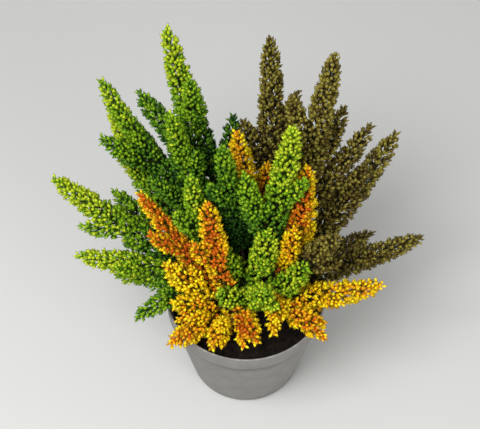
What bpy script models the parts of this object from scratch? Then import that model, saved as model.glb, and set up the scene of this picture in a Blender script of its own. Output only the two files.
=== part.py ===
"""Potted heather: seven rooted cuttings with green, golden and bronze shoots in one round nursery pot.

Metres, +Z up. The origin is the middle of the pot's flat underside, and the plant's front faces -Y.
Every shoot is a plume: a leader with smaller spires beside it, all set round with short sprigs.
"""

import math
import random
from collections import namedtuple

import bmesh
import bpy
import numpy as np
from mathutils import Matrix, Vector, kdtree

# Pot
POT_HEIGHT = 0.095
RIM_RADIUS = 0.060
COLLAR_HEIGHT = 0.013
COLLAR_STEP = 0.0030
WALL = 0.0013
BASE_RADIUS = 0.0425
FLOOR_THICKNESS = 0.0020
HEEL_ROUND = 0.0025
DRAIN_HOLES = 8
DRAIN_HOLE_RADIUS = 0.0045
DRAIN_RING_RADIUS = 0.031
POT_SEGMENTS = 48

# Peat
PEAT_TOP = 0.084
PEAT_CROWN = 0.0015
GAP = 0.0003

# Woody cuttings: each stands up from a flat cut on the peat
STEM_HEIGHT = 0.024
STEM_RADIUS = 0.0026
STEM_TIP_RADIUS = 0.0018
FLARE_RADIUS = 0.0044
FLARE_HEIGHT = 0.005
LOWEST_FORK = 0.34
STEM_OUTWARD_LEAN = 6.0

# Boughs: the bare woody foot of each long shoot
LONG_SHOOT = 0.115
BARE_LENGTH = 0.016
BOUGH_RADIUS = 0.0015
BOUGH_TIP_RADIUS = 0.0011

# Plumes
SAMPLE_STEP = 0.001
TIP_RADIUS = 0.0036
TAPER_SHARE = 0.55
TAPER_POWER = 0.85
FOOT_SHARE = 0.60
FOOT_LENGTH = 0.014
FOOT_RADIUS = 0.0012
FOOT_SWELL = 0.15
CORE_SHARE = 0.30
CORE_LEAST = 0.0007
CORE_RINGS_PER_METRE = 55
SIDE_SPACING = 0.062
SIDE_FIRST, SIDE_LAST = 0.10, 0.60
SIDE_ANGLE = 38.0
SIDE_TURN_BACK = 20.0
SIDE_LENGTH_SHARE = 0.62
SIDE_LEAST = 0.024
SIDE_GIRTH_SHARE = 0.80
SIDE_TRIES = 6
SPIRE_CLEARANCE = 0.0080
SPRIG_STEP = 0.0040
SPRIG_STEP_SHARE = 0.46
SPRIG_ANGLE = 42.0
SPRIG_ANGLE_SPREAD = 6.0
SPRIG_HALF_WIDTH = 0.0012
SPRIG_WIDTH_SHARE = 0.20
SPRIG_WIDEST = 0.58
SPRIG_LEAST = 0.0040
SPRIG_CUTS = (1.0, 0.78, 0.60)
SPRIG_SLIMMING = 0.85
SPACE_GAP = 0.0004
GOLDEN_TURN = 137.508

Cutting = namedtuple("Cutting", "name x y")
CUTTINGS = (
    Cutting("green_left", -0.020, 0.004),
    Cutting("green_back", -0.003, 0.018),
    Cutting("green_front", 0.007, -0.008),
    Cutting("gold_front", -0.009, -0.018),
    Cutting("gold_right", 0.022, -0.009),
    Cutting("gold_back", 0.012, 0.027),
    Cutting("bronze_right", 0.021, 0.010),
)

# Azimuth is counted from +X towards +Y, lean from straight up, both in degrees and along the chord.
# A positive bend starts the shoot outwards and turns its tip up; a negative one lets the tip hang.
Shoot = namedtuple("Shoot", "name cutting azimuth lean length bend girth")
SHOOTS = (
    Shoot("big_left", "green_left", 132, 59, 0.150, 0.10, 0.0130),
    Shoot("left", "green_left", 165, 60, 0.142, 0.09, 0.0125),
    Shoot("low_left", "green_left", 181, 75, 0.106, -0.04, 0.0115),
    Shoot("hanging", "green_left", 216, 80, 0.070, -0.26, 0.0100),
    Shoot("upright_left", "green_left", 155, 10, 0.106, 0.05, 0.0100),
    Shoot("tall", "green_back", 124, 34, 0.190, 0.10, 0.0130),
    Shoot("back_left", "green_back", 147, 45, 0.178, 0.12, 0.0105),
    Shoot("inner_left", "green_back", 146, 27, 0.138, 0.17, 0.0105),
    Shoot("inner", "green_back", 165, 7, 0.124, 0.0, 0.0100),
    Shoot("upright", "green_front", 65, 19, 0.148, 0.08, 0.0130),
    Shoot("tuft", "green_front", 60, 12, 0.064, 0.04, 0.0130),
    Shoot("tuft_left", "green_front", 158, 34, 0.060, 0.10, 0.0125),
    Shoot("tuft_right", "green_front", 0, 36, 0.062, 0.10, 0.0125),
    Shoot("tuft_front", "green_front", 285, 30, 0.050, 0.08, 0.0120),
    Shoot("tuft_near", "green_front", 212, 40, 0.046, 0.08, 0.0110),
    Shoot("orange_up", "gold_front", 125, 19, 0.092, 0.10, 0.0105),
    Shoot("yellow", "gold_front", 172, 50, 0.062, 0.10, 0.0120),
    Shoot("yellow_low", "gold_front", 196, 64, 0.048, 0.04, 0.0110),
    Shoot("rim_left", "gold_front", 223, 76, 0.058, -0.16, 0.0115),
    Shoot("rim_front", "gold_front", 254, 76, 0.042, -0.20, 0.0110),
    Shoot("rim_middle", "gold_front", 300, 72, 0.044, -0.22, 0.0100),
    Shoot("amber", "gold_front", 146, 50, 0.106, 0.04, 0.0090),
    Shoot("rim_right", "gold_right", 314, 75, 0.054, -0.20, 0.0100),
    Shoot("rim_inner", "gold_right", 270, 62, 0.036, -0.10, 0.0095),
    Shoot("reach", "gold_right", 355, 64, 0.082, 0.08, 0.0110),
    Shoot("flame", "gold_right", 69, 24, 0.108, 0.10, 0.0130),
    Shoot("gold_rear", "gold_back", 82, 62, 0.106, 0.10, 0.0110),
    Shoot("gold_rear_up", "gold_back", 140, 15, 0.116, 0.05, 0.0100),
    Shoot("green_rear", "gold_back", 122, 76, 0.096, 0.05, 0.0115),
    Shoot("brown_near", "bronze_right", 330, 29, 0.094, 0.08, 0.0110),
    Shoot("brown_back", "bronze_right", 97, 37, 0.178, 0.10, 0.0125),
    Shoot("brown_tall", "bronze_right", 64, 23, 0.180, 0.06, 0.0125),
    Shoot("brown_side", "bronze_right", 38, 46, 0.142, 0.10, 0.0120),
    Shoot("brown_low", "bronze_right", 7, 66, 0.114, 0.08, 0.0110),
)

KINDS = {
    "pot": ((0.36, 0.35, 0.34), 0.55),
    "peat": ((0.018, 0.013, 0.010), 0.95),
    "bark": ((0.11, 0.07, 0.045), 0.85),
    "green": ((0.10, 0.26, 0.035), 0.60),
    "gold": ((0.75, 0.36, 0.02), 0.60),
    "bronze": ((0.14, 0.10, 0.045), 0.65),
}


def clear_scene():
    for thing in list(bpy.data.objects):
        bpy.data.objects.remove(thing)


def new_collection(name):
    collection = bpy.data.collections.new(name)
    bpy.context.scene.collection.children.link(collection)
    return collection


def make_materials():
    made = {}
    for kind, (colour, roughness) in KINDS.items():
        material = bpy.data.materials.new(kind)
        material.use_nodes = True
        shader = material.node_tree.nodes["Principled BSDF"]
        shader.inputs["Base Color"].default_value = (*colour, 1.0)
        shader.inputs["Roughness"].default_value = roughness
        shader.inputs["Metallic"].default_value = 0.0
        made[kind] = material
    return made


def add_object(name, mesh, collection, material=None):
    thing = bpy.data.objects.new(name, mesh)
    if material:
        mesh.materials.clear()
        mesh.materials.append(material)
    collection.objects.link(thing)
    return thing


def unit(vector):
    return vector / np.linalg.norm(vector)


def heading(azimuth, lean):
    """The unit vector at an azimuth from +X and a lean from straight up, in degrees."""
    turn, tilt = math.radians(azimuth), math.radians(lean)
    return np.array(
        [math.cos(turn) * math.sin(tilt), math.sin(turn) * math.sin(tilt), math.cos(tilt)]
    )


def bowed(root, azimuth, lean, length, bend):
    """Evenly spaced points of a quadratic curve whose chord has that lean, bowed by bend times its length."""
    tip = root + length * heading(azimuth, lean)
    middle = (root + tip) / 2 - bend * length * heading(azimuth, lean - 90.0)
    t = np.linspace(0.0, 1.0, max(8, round(length / SAMPLE_STEP)))[:, None]
    return (1 - t) ** 2 * root + 2 * t * (1 - t) * middle + t**2 * tip


def tangents(points):
    slopes = np.gradient(points, axis=0)
    return slopes / np.linalg.norm(slopes, axis=1)[:, None]


def lengths_along(points):
    steps = np.linalg.norm(np.diff(points, axis=0), axis=1)
    return np.concatenate([[0.0], np.cumsum(steps)])


def across(direction, turn):
    """A unit vector square to direction, turned round it by turn degrees."""
    helper = np.array([0.0, 0.0, 1.0]) if abs(direction[2]) < 0.9 else np.array([1.0, 0.0, 0.0])
    side = unit(np.cross(helper, direction))
    other = np.cross(direction, side)
    angle = math.radians(turn)
    return math.cos(angle) * side + math.sin(angle) * other


# The pot and its peat


def inner_radius(height):
    """The pot's inner wall radius at a height: below the collar's step it is a plain taper."""
    step = POT_HEIGHT - COLLAR_HEIGHT
    below = RIM_RADIUS - COLLAR_STEP - WALL
    if height >= step:
        return RIM_RADIUS - WALL - 0.0006 * (POT_HEIGHT - height) / COLLAR_HEIGHT
    foot = BASE_RADIUS - WALL
    return foot + (below - foot) * height / step


def outer_radius(height):
    if height >= POT_HEIGHT - COLLAR_HEIGHT:
        return RIM_RADIUS
    return inner_radius(height) + WALL


def turned(name, profile, segments, collection, material):
    """A solid of revolution: the profile runs from the axis, round the section and back to the axis."""
    mesh = bpy.data.meshes.new(name)
    mesh.from_pydata([(r, 0.0, z) for r, z in profile], [(i, i + 1) for i in range(len(profile) - 1)], [])
    thing = add_object(name, mesh, collection, material)
    screw = thing.modifiers.new("turn", "SCREW")
    screw.steps = screw.render_steps = segments
    screw.use_merge_vertices = True
    screw.merge_threshold = 0.00002
    return thing


def pot_profile():
    step = POT_HEIGHT - COLLAR_HEIGHT
    lip = 0.0008
    return [
        (0.0, FLOOR_THICKNESS),
        (inner_radius(FLOOR_THICKNESS), FLOOR_THICKNESS),
        (inner_radius(step) - 0.0001, step - 0.0012),
        (inner_radius(POT_HEIGHT - COLLAR_HEIGHT), step),
        (RIM_RADIUS - WALL, POT_HEIGHT - lip),
        (RIM_RADIUS - WALL / 2, POT_HEIGHT),
        (RIM_RADIUS, POT_HEIGHT - lip),
        (RIM_RADIUS - 0.0006, step - WALL),
        (outer_radius(step - 0.001), step - WALL),
        (BASE_RADIUS + 0.0004, HEEL_ROUND),
        (BASE_RADIUS - HEEL_ROUND / 2, 0.0),
        (0.0, 0.0),
    ]


def make_pot(collection, cutters, material):
    pot = turned("pot", pot_profile(), POT_SEGMENTS, collection, material)
    bm = bmesh.new()
    for k in range(DRAIN_HOLES):
        turn = 2 * math.pi * (k + 0.5) / DRAIN_HOLES
        place = Matrix.Translation(
            (DRAIN_RING_RADIUS * math.cos(turn), DRAIN_RING_RADIUS * math.sin(turn), FLOOR_THICKNESS / 2)
        )
        bmesh.ops.create_cone(
            bm,
            cap_ends=True,
            segments=12,
            radius1=DRAIN_HOLE_RADIUS,
            radius2=DRAIN_HOLE_RADIUS,
            depth=FLOOR_THICKNESS * 3,
            matrix=place,
        )
    mesh = bpy.data.meshes.new("drain_drill")
    bm.to_mesh(mesh)
    bm.free()
    drill = add_object("drain_drill", mesh, cutters)
    drill.hide_render = True
    drill.display_type = "WIRE"
    cut = pot.modifiers.new("drain holes", "BOOLEAN")
    cut.operation = "DIFFERENCE"
    cut.object = drill
    return pot


def make_peat(collection, material):
    low = FLOOR_THICKNESS + GAP
    profile = [
        (0.0, PEAT_TOP),
        (RIM_RADIUS * 0.55, PEAT_TOP),
        (RIM_RADIUS * 0.80, PEAT_TOP - PEAT_CROWN),
        (inner_radius(PEAT_TOP - 0.003) - 2 * GAP - COLLAR_STEP, PEAT_TOP - 0.003),
        (inner_radius(low) - 2 * GAP, low),
        (0.0, low),
    ]
    return turned("peat", profile, POT_SEGMENTS, collection, material)


# Limbs and spires as tapering tubes


def limb_mesh(name, points, radii, resolution):
    """A tapering tube with welded caps, from a curve with a round bevel."""
    curve = bpy.data.curves.new(name, "CURVE")
    curve.dimensions = "3D"
    curve.bevel_depth = 1.0
    curve.bevel_resolution = resolution
    curve.use_fill_caps = True
    spline = curve.splines.new("POLY")
    spline.points.add(len(points) - 1)
    for knot, point, radius in zip(spline.points, points, radii):
        knot.co = (*point, 1.0)
        knot.radius = radius
    guide = bpy.data.objects.new(name, curve)
    bpy.context.scene.collection.objects.link(guide)
    graph = bpy.context.evaluated_depsgraph_get()
    mesh = bpy.data.meshes.new_from_object(guide.evaluated_get(graph))
    bpy.data.objects.remove(guide)
    bm = bmesh.new()
    bm.from_mesh(mesh)
    bmesh.ops.remove_doubles(bm, verts=bm.verts, dist=0.00002)
    bmesh.ops.recalc_face_normals(bm, faces=bm.faces)
    bm.to_mesh(mesh)
    bm.free()
    return mesh


def thinned(points, radii, rings):
    """Every few samples of a limb, its two ends kept."""
    picks = np.unique(np.linspace(0, len(points) - 1, rings).round().astype(int))
    return points[picks], radii[picks]


class Limb:
    """A bare woody limb: its axis points and its radius at each."""

    def __init__(self, name, points, radii):
        self.name, self.points, self.radii = name, points, radii


class Spire:
    """One foliated axis of a plume: points, tangents, and the plume's and the core's radius at each."""

    def __init__(self, mass, points, girth, rooted_on=None):
        self.mass = mass
        self.rooted_on = rooted_on
        self.points = points
        self.tangents = tangents(points)
        self.along = lengths_along(points)
        self.length = self.along[-1]
        from_tip = np.minimum(1.0, (self.length - self.along) / (TAPER_SHARE * self.length))
        wide = TIP_RADIUS + (girth - TIP_RADIUS) * from_tip**TAPER_POWER
        foot = FOOT_SHARE + (1 - FOOT_SHARE) * np.minimum(1.0, self.along / FOOT_LENGTH)
        self.plume = wide * foot
        self.core = np.maximum(CORE_LEAST, CORE_SHARE * self.plume)

    def at(self, distance):
        return min(len(self.points) - 1, int(np.searchsorted(self.along, distance)))


class Stem:
    """A cutting's short main stem, with the limbs that fork from it."""

    def __init__(self, cutting):
        self.name = cutting.name
        foot = np.array([cutting.x, cutting.y, PEAT_TOP + GAP])
        outward = math.degrees(math.atan2(cutting.y, cutting.x))
        self.axis = heading(outward, STEM_OUTWARD_LEAN)
        self.foot = foot
        self.top = foot + self.axis * STEM_HEIGHT / self.axis[2]

    def point(self, share):
        return self.foot + (self.top - self.foot) * share

    def radius(self, share):
        return STEM_RADIUS + (STEM_TIP_RADIUS - STEM_RADIUS) * share

    def clearance(self, points):
        """How far points lie outside the stem's surface, or above its top."""
        share = (points[:, 2] - self.foot[2]) / (self.top[2] - self.foot[2])
        held = np.clip(share, 0.0, 1.0)[:, None]
        centres = self.foot + (self.top - self.foot) * held
        off = np.linalg.norm((points - centres)[:, :2], axis=1) - self.radius(held[:, 0])
        above = points[:, 2] - self.top[2]
        return np.where(above > 0, np.hypot(np.maximum(off, 0.0), above), off)


def start_clear(points, stem, radius):
    """The first index where a limb's end disc stands one gap off the stem."""
    slopes = tangents(points)
    for k in range(len(points) - 4):
        ring = np.array([points[k] + radius * across(slopes[k], turn) for turn in range(0, 360, 30)])
        if stem.clearance(np.vstack([ring, points[k]])).min() >= GAP:
            return k
    raise ValueError(f"a limb on {stem.name} never leaves its stem")


def fine(points, step=0.0001):
    """The same path, sampled finely enough to place an end within the gap."""
    along = lengths_along(points)
    at = np.linspace(0.0, along[-1], max(2, round(along[-1] / step)))
    return np.stack([np.interp(at, along, points[:, i]) for i in range(3)], axis=1)


def stretch(points, start, end):
    """The part of a path between two distances along it, at the usual sampling."""
    along = lengths_along(points)
    at = np.linspace(start, end, max(4, round((end - start) / SAMPLE_STEP)))
    return np.stack([np.interp(at, along, points[:, i]) for i in range(3)], axis=1)


def grow_leaders():
    """Each shoot's bough, where it has one, and its leader spire."""
    stems = {cutting.name: Stem(cutting) for cutting in CUTTINGS}
    boughs, leaders = [], []
    for stem in stems.values():
        own = sorted((s for s in SHOOTS if s.cutting == stem.name), key=lambda s: -s.lean)
        for rank, shoot in enumerate(own):
            share = LOWEST_FORK + (1 - LOWEST_FORK) * (rank + 1) / len(own)
            radius = BOUGH_RADIUS if shoot.length > LONG_SHOOT else FOOT_RADIUS * 0.8
            path = fine(bowed(stem.point(share), shoot.azimuth, shoot.lean, shoot.length, shoot.bend))
            path = path[start_clear(path, stem, radius) :]
            total = lengths_along(path)[-1]
            if shoot.length > LONG_SHOOT:
                wood = stretch(path, 0.0, BARE_LENGTH)
                taper = np.linspace(BOUGH_RADIUS, BOUGH_TIP_RADIUS, len(wood))
                boughs.append(Limb(shoot.name + "_bough", wood, taper))
                leaf = stretch(path, BARE_LENGTH + GAP, total)
            else:
                leaf = stretch(path, 0.0, total)
            leaders.append(Spire(shoot.name, leaf, shoot.girth, stem.name))
    return stems, boughs, leaders


def tree_of(points):
    tree = kdtree.KDTree(len(points))
    for k, point in enumerate(points):
        tree.insert(point, k)
    tree.balance()
    return tree


def nearest(tree, points):
    return np.array([tree.find(point)[2] for point in points])


def pot_clearance(points):
    """How far points lie from the peat and the pot's wall; below zero inside either."""
    away, height = np.hypot(points[:, 0], points[:, 1]), points[:, 2] - POT_HEIGHT
    above = np.maximum(height, 0.0)
    outside = np.hypot(np.maximum(away - RIM_RADIUS, 0.0), above)
    inner = RIM_RADIUS - WALL - 0.001
    inside = np.hypot(np.maximum(inner - away, 0.0), above)
    inside = np.minimum(inside, points[:, 2] - PEAT_TOP)
    return np.where(away > RIM_RADIUS, outside, np.where(away < inner, inside, height))


class Crown:
    """Every limb and spire, for the tests that keep each mass to its own space."""

    def __init__(self, stems, boughs, leaders):
        self.stems, self.boughs, self.spires = stems, boughs, list(leaders)
        self.wood = [(b.name[: -len("_bough")], b.points, b.radii) for b in boughs]
        for stem in stems.values():
            shares = np.linspace(0.0, 1.0, 30)
            points = np.array([stem.point(s) for s in shares])
            self.wood.append((stem.name, points, stem.radius(shares)))

    def others(self, mass):
        return tree_of(np.vstack([s.points for s in self.spires if s.mass != mass]))

    def own(self, mass):
        return tree_of(np.vstack([s.points for s in self.spires if s.mass == mass]))

    def wood_clearance(self, points, leave_out=()):
        """The least distance from points to the surface of any limb but those left out."""
        least = np.full(len(points), 1.0)
        for name, axis, radii in self.wood:
            if name in leave_out:
                continue
            apart = np.linalg.norm(points[:, None] - axis[None], axis=2) - radii[None]
            least = np.minimum(least, apart.min(axis=1))
        return least


def side_spire(leader, share, turn, rng):
    """A smaller spire that leaves the leader at an angle and turns back towards it."""
    k = leader.at(share * leader.length)
    forward, out = leader.tangents[k], across(leader.tangents[k], turn)
    away, back = math.radians(SIDE_ANGLE), math.radians(SIDE_TURN_BACK)
    length = max(SIDE_LEAST, SIDE_LENGTH_SHARE * (1 - share) * leader.length * rng.uniform(0.75, 1.1))
    t = np.linspace(0.0, 1.0, max(8, round(length / SAMPLE_STEP)))
    angles = away + (back - away) * t
    steps = np.cos(angles)[:, None] * forward + np.sin(angles)[:, None] * out
    points = leader.points[k] + np.cumsum(steps, axis=0) * length / len(t)
    girth = SIDE_GIRTH_SHARE * min(leader.plume.max(), 0.0045 + 0.14 * length)
    return Spire(leader.mass, points, girth)


def grow_sides(crown, leaders):
    """Side spires, each kept where it clears every other mass, limb and the pot."""
    for number, leader in enumerate(leaders):
        rng = random.Random(100 + number)
        others = crown.others(leader.mass)
        count = round(leader.length / SIDE_SPACING)
        turn = rng.uniform(0, 360)
        for k in range(count):
            share = SIDE_FIRST + (SIDE_LAST - SIDE_FIRST) * (k + 0.5) / count
            for _ in range(SIDE_TRIES):
                turn += GOLDEN_TURN
                spire = side_spire(leader, share, turn, rng)
                test = spire.points[4::3]
                roomy = nearest(others, test).min() > SPIRE_CLEARANCE
                mates = [s.points for s in crown.spires if s.mass == leader.mass and s is not leader]
                far = spire.points[len(spire.points) // 2 :]
                apart = not mates or nearest(tree_of(np.vstack(mates)), far).min() > SPIRE_CLEARANCE
                bare = crown.wood_clearance(test).min() > SPIRE_CLEARANCE / 2
                high = pot_clearance(test).min() > SPIRE_CLEARANCE / 2
                if roomy and apart and bare and high:
                    crown.spires.append(spire)
                    break


def fit_cores(crown):
    """Narrows each core where another mass or a limb comes near, and at the foot that meets its limb."""
    for spire in crown.spires:
        room = nearest(crown.others(spire.mass), spire.points) / 2 - SPACE_GAP
        wood = crown.wood_clearance(spire.points, (spire.mass, spire.rooted_on)) - SPACE_GAP
        pot = pot_clearance(spire.points) - SPACE_GAP
        foot = FOOT_RADIUS + FOOT_SWELL * spire.along
        spire.core = np.minimum.reduce([spire.core, foot, room, np.maximum(wood, CORE_LEAST / 2), pot])
        if spire.core.min() < CORE_LEAST / 2:
            raise ValueError(f"{spire.mass}: a core has {spire.core.min() * 1000:.2f} mm of room")


def sprig_mesh(name, root, direction, length, width, turn):
    """A three-sided spindle with its root pole on the spire's axis."""
    bm = bmesh.new()
    bmesh.ops.create_uvsphere(bm, u_segments=3, v_segments=2, radius=1.0)
    side = Vector(across(direction, turn))
    forward = Vector(direction)
    other = forward.cross(side)
    for vertex in bm.verts:
        x, y, z = vertex.co
        up = {-1: 0.0, 0: SPRIG_WIDEST, 1: 1.0}[round(z)] * length
        vertex.co = Vector(root) + side * (x * width) + other * (y * width) + forward * up
    mesh = bpy.data.meshes.new(name)
    bm.to_mesh(mesh)
    bm.free()
    return mesh


def fitted_sprig(crown, spire, k, turn, angle, others, own, stretch_by):
    """The longest cut of a sprig that fits its mass's own space, or None where none does."""
    out = across(spire.tangents[k], turn)
    direction = math.cos(angle) * spire.tangents[k] + math.sin(angle) * out
    ahead = spire.at(spire.along[k] + 0.8 * spire.plume[k] / math.tan(angle))
    width = SPRIG_HALF_WIDTH + SPRIG_WIDTH_SHARE * spire.plume[ahead]
    for cut in SPRIG_CUTS:
        length = spire.plume[ahead] / math.sin(angle) * stretch_by * cut
        if length < SPRIG_LEAST:
            return None
        test = spire.points[k] + np.outer(np.linspace(0.35, 1.0, 5), direction) * length
        widths = width * np.array([0.8, 1.0, 1.0, 0.6, 0.2])
        beyond = nearest(others, test) - nearest(own, test)
        if (
            (beyond > 2 * widths + SPACE_GAP).all()
            and (crown.wood_clearance(test) > widths + SPACE_GAP).all()
            and (pot_clearance(test) > widths + SPACE_GAP).all()
        ):
            return spire.points[k], direction, length, width
        width *= SPRIG_SLIMMING
    return None


def grow_sprigs(crown, mass, rng):
    """The sprigs of one mass: root, direction, length, half width and roll."""
    others, own = crown.others(mass), crown.own(mass)
    found = []
    for spire in (s for s in crown.spires if s.mass == mass):
        turn = rng.uniform(0, 360)
        distance = SPRIG_STEP * 0.6
        while distance < spire.length - SPRIG_LEAST:
            k = spire.at(distance)
            turn += GOLDEN_TURN
            angle = math.radians(SPRIG_ANGLE + SPRIG_ANGLE_SPREAD * rng.uniform(-1, 1))
            sprig = fitted_sprig(crown, spire, k, turn, angle, others, own, rng.uniform(0.85, 1.1))
            if sprig:
                found.append((*sprig, rng.uniform(0, 360)))
            distance += (SPRIG_STEP + SPRIG_STEP_SHARE * spire.plume[k]) * rng.uniform(0.85, 1.15)
    return found


def largest_body(mesh):
    """Keeps a union's one true body, and drops loose scraps and the faces of sealed hollows."""
    bm = bmesh.new()
    bm.from_mesh(mesh)
    bm.verts.ensure_lookup_table()
    left, groups = set(bm.verts), []
    while left:
        group, reach = set(), [left.pop()]
        while reach:
            vertex = reach.pop()
            group.add(vertex)
            for edge in vertex.link_edges:
                other = edge.other_vert(vertex)
                if other in left:
                    left.discard(other)
                    reach.append(other)
        groups.append(group)
    keep = max(groups, key=len)
    bmesh.ops.delete(bm, geom=[v for v in bm.verts if v not in keep], context="VERTS")
    bm.to_mesh(mesh)
    bm.free()


def make_mass(name, crown, seed, collection, material):
    """One plume as one solid: cores and sprigs joined by a union on a collection."""
    pieces = new_collection(name + "_pieces")
    spires = [s for s in crown.spires if s.mass == name]
    cores = []
    for k, spire in enumerate(spires):
        rings = max(4, round(spire.length * CORE_RINGS_PER_METRE))
        points, radii = thinned(spire.points, spire.core, rings)
        label = name if k == 0 else f"{name}_side_{k}"
        cores.append(limb_mesh(label, points, radii, 0))
    body = add_object(name, cores[0], collection, material)
    for k, core in enumerate(cores[1:]):
        add_object(f"{name}_side_{k}", core, pieces)
    for k, sprig in enumerate(grow_sprigs(crown, name, random.Random(seed))):
        add_object(f"{name}_sprig_{k}", sprig_mesh(f"{name}_sprig", *sprig), pieces)
    if pieces.objects:
        union = body.modifiers.new("sprigs", "BOOLEAN")
        union.operation = "UNION"
        union.operand_type = "COLLECTION"
        union.solver = "MANIFOLD"
        union.collection = pieces
        graph = bpy.context.evaluated_depsgraph_get()
        joined = bpy.data.meshes.new_from_object(body.evaluated_get(graph))
        body.modifiers.clear()
        body.data = joined
        largest_body(joined)
    for piece in list(pieces.objects):
        bpy.data.objects.remove(piece)
    bpy.data.collections.remove(pieces)
    body.data.materials.clear()
    body.data.materials.append(material)
    return body


def make_stem(stem, collection, material):
    rise = (stem.top - stem.foot) / (stem.top - stem.foot)[2]
    flare = stem.foot + rise * FLARE_HEIGHT
    half = stem.foot + rise * STEM_HEIGHT * 0.6
    points = np.array([stem.foot, stem.foot + rise * 0.0015, flare, half, stem.top])
    radii = np.array([FLARE_RADIUS, FLARE_RADIUS * 0.8, STEM_RADIUS, stem.radius(0.6), STEM_TIP_RADIUS])
    mesh = limb_mesh("stem_" + stem.name, points, radii, 2)
    for vertex in mesh.vertices:
        if vertex.co.z < PEAT_TOP + 0.0008:
            vertex.co.z = PEAT_TOP + GAP
    return add_object("stem_" + stem.name, mesh, collection, material)


def kind_of(shoot):
    if shoot.name == "green_rear":
        return "green"
    return shoot.cutting.split("_")[0]


def main():
    clear_scene()
    parts = new_collection("potted_heather")
    cutters = new_collection("cutters")
    cutters.hide_render = True
    materials = make_materials()
    make_pot(parts, cutters, materials["pot"])
    make_peat(parts, materials["peat"])
    stems, boughs, leaders = grow_leaders()
    crown = Crown(stems, boughs, leaders)
    grow_sides(crown, leaders)
    fit_cores(crown)
    for stem in stems.values():
        make_stem(stem, parts, materials["bark"])
    for bough in boughs:
        points, radii = thinned(bough.points, bough.radii, 5)
        mesh = limb_mesh(bough.name, points, radii, 1)
        add_object(bough.name, mesh, parts, materials["bark"])
    kinds = {shoot.name: kind_of(shoot) for shoot in SHOOTS}
    for number, leader in enumerate(leaders):
        mass = leader.mass
        make_mass(mass, crown, 500 + number, parts, materials[kinds[mass]])


if __name__ == "__main__":
    main()
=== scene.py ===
"""Looks of the potted heather: a grey nursery pot, dark peat, woody cuttings and scaly, coloured shoots.

The shoots grow by the same rule as in the part's source, and are carried on to finer twigs here. Whorls of
scale leaves stand round the end of every twig, and each spray of twigs gets one of a few plain colours, by
its age and, as painted shade and painted light, by its depth in the plume and the way it faces the light.
"""

import math
import random
from collections import defaultdict, namedtuple
from functools import lru_cache
from itertools import product

import bmesh
import bpy
import numpy as np
from bpy.props import FloatProperty, FloatVectorProperty, IntProperty, PointerProperty
from bpy.types import Operator, Panel, PropertyGroup
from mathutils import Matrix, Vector, kdtree, noise


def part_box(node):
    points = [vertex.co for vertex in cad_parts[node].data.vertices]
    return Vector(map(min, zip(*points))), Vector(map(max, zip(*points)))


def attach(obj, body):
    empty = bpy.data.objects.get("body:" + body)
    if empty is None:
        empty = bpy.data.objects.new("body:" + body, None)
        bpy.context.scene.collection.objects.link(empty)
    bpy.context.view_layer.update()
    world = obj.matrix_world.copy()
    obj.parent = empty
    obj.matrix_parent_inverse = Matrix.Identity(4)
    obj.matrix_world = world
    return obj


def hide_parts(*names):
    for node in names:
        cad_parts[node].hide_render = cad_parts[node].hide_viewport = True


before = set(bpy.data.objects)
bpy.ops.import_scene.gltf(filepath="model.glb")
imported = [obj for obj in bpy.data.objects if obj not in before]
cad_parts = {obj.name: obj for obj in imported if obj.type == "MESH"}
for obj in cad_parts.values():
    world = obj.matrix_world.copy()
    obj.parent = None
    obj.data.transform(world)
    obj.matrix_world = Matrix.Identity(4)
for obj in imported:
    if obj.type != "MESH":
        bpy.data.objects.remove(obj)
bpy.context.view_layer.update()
POT_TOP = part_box("pot")[1]

bl_info = {
    "name": "Potted Heather",
    "version": (1, 0, 0),
    "blender": (4, 5, 0),
    "location": "3D View > Sidebar > Heather",
    "description": "Makes a bushy foliage heather in its nursery pot, with the stage that it is shown on",
    "category": "Add Mesh",
}

# Pot
POT_HEIGHT = 0.095
RIM_RADIUS = 0.060
COLLAR_HEIGHT = 0.013
COLLAR_STEP = 0.0030
WALL = 0.0013
BASE_RADIUS = 0.0425
FLOOR_THICKNESS = 0.0020
HEEL_ROUND = 0.0025
LEAST_ROUND = 0.00003
DRAIN_HOLES = 8
DRAIN_HOLE_RADIUS = 0.0045
DRAIN_HOLE_SIDES = 28
DRAIN_RING_RADIUS = 0.031
POT_SEGMENTS = 160

# Peat
PEAT_TOP = 0.084
PEAT_CROWN = 0.0015
PEAT_EDGE_DROP = 0.003
PEAT_RINGS = 34
PEAT_SEGMENTS = 120
LUMPS_ABOVE = 0.070
CRUMBS_ABOVE = 0.078
GAP = 0.0003

# Woody cuttings and boughs
STEM_HEIGHT = 0.024
STEM_RADIUS = 0.0026
STEM_TIP_RADIUS = 0.0018
STEM_SUNK = 0.0012
STEM_SIDES, FOOT_SIDES = 26, 12
FLARE_RADIUS = 0.0044
FLARE_HEIGHT = 0.005
LOWEST_FORK = 0.34
STEM_OUTWARD_LEAN = 6.0
LONG_SHOOT = 0.115
BARE_LENGTH = 0.016
Wood = namedtuple("Wood", "radius tip_radius bark_length")
BOUGH = Wood(0.0015, 0.0011, BARE_LENGTH)
FOOT = Wood(0.00096, 0.00084, 0.007)
BARK_START = 0.35
BARK_SWELL = 1.1
PATH_STEP, BARK_STEP = 0.0001, 0.0005

# Plumes
SAMPLE_STEP = 0.001
TIP_RADIUS = 0.0042
TAPER_SHARE = 0.55
TAPER_POWER = 0.60
FOOT_SHARE = 0.80
FOOT_LENGTH = 0.014
SIDE_SPACING = 0.062
SIDE_FIRST, SIDE_LAST = 0.10, 0.60
SIDE_ANGLE = 38.0
SIDE_TURN_BACK = 20.0
SIDE_LENGTH_SHARE = 0.62
SIDE_LEAST = 0.024
SIDE_GIRTH_SHARE = 0.80
SIDE_GIRTH_LEAST = 0.0045
SIDE_GIRTH_BY_LENGTH = 0.14
SIDE_TRIES = 6
SIDE_SEED = 100
SPIRE_CLEARANCE = 0.0080
SPACE_GAP = 0.0004
GOLDEN_TURN = 137.508

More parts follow.
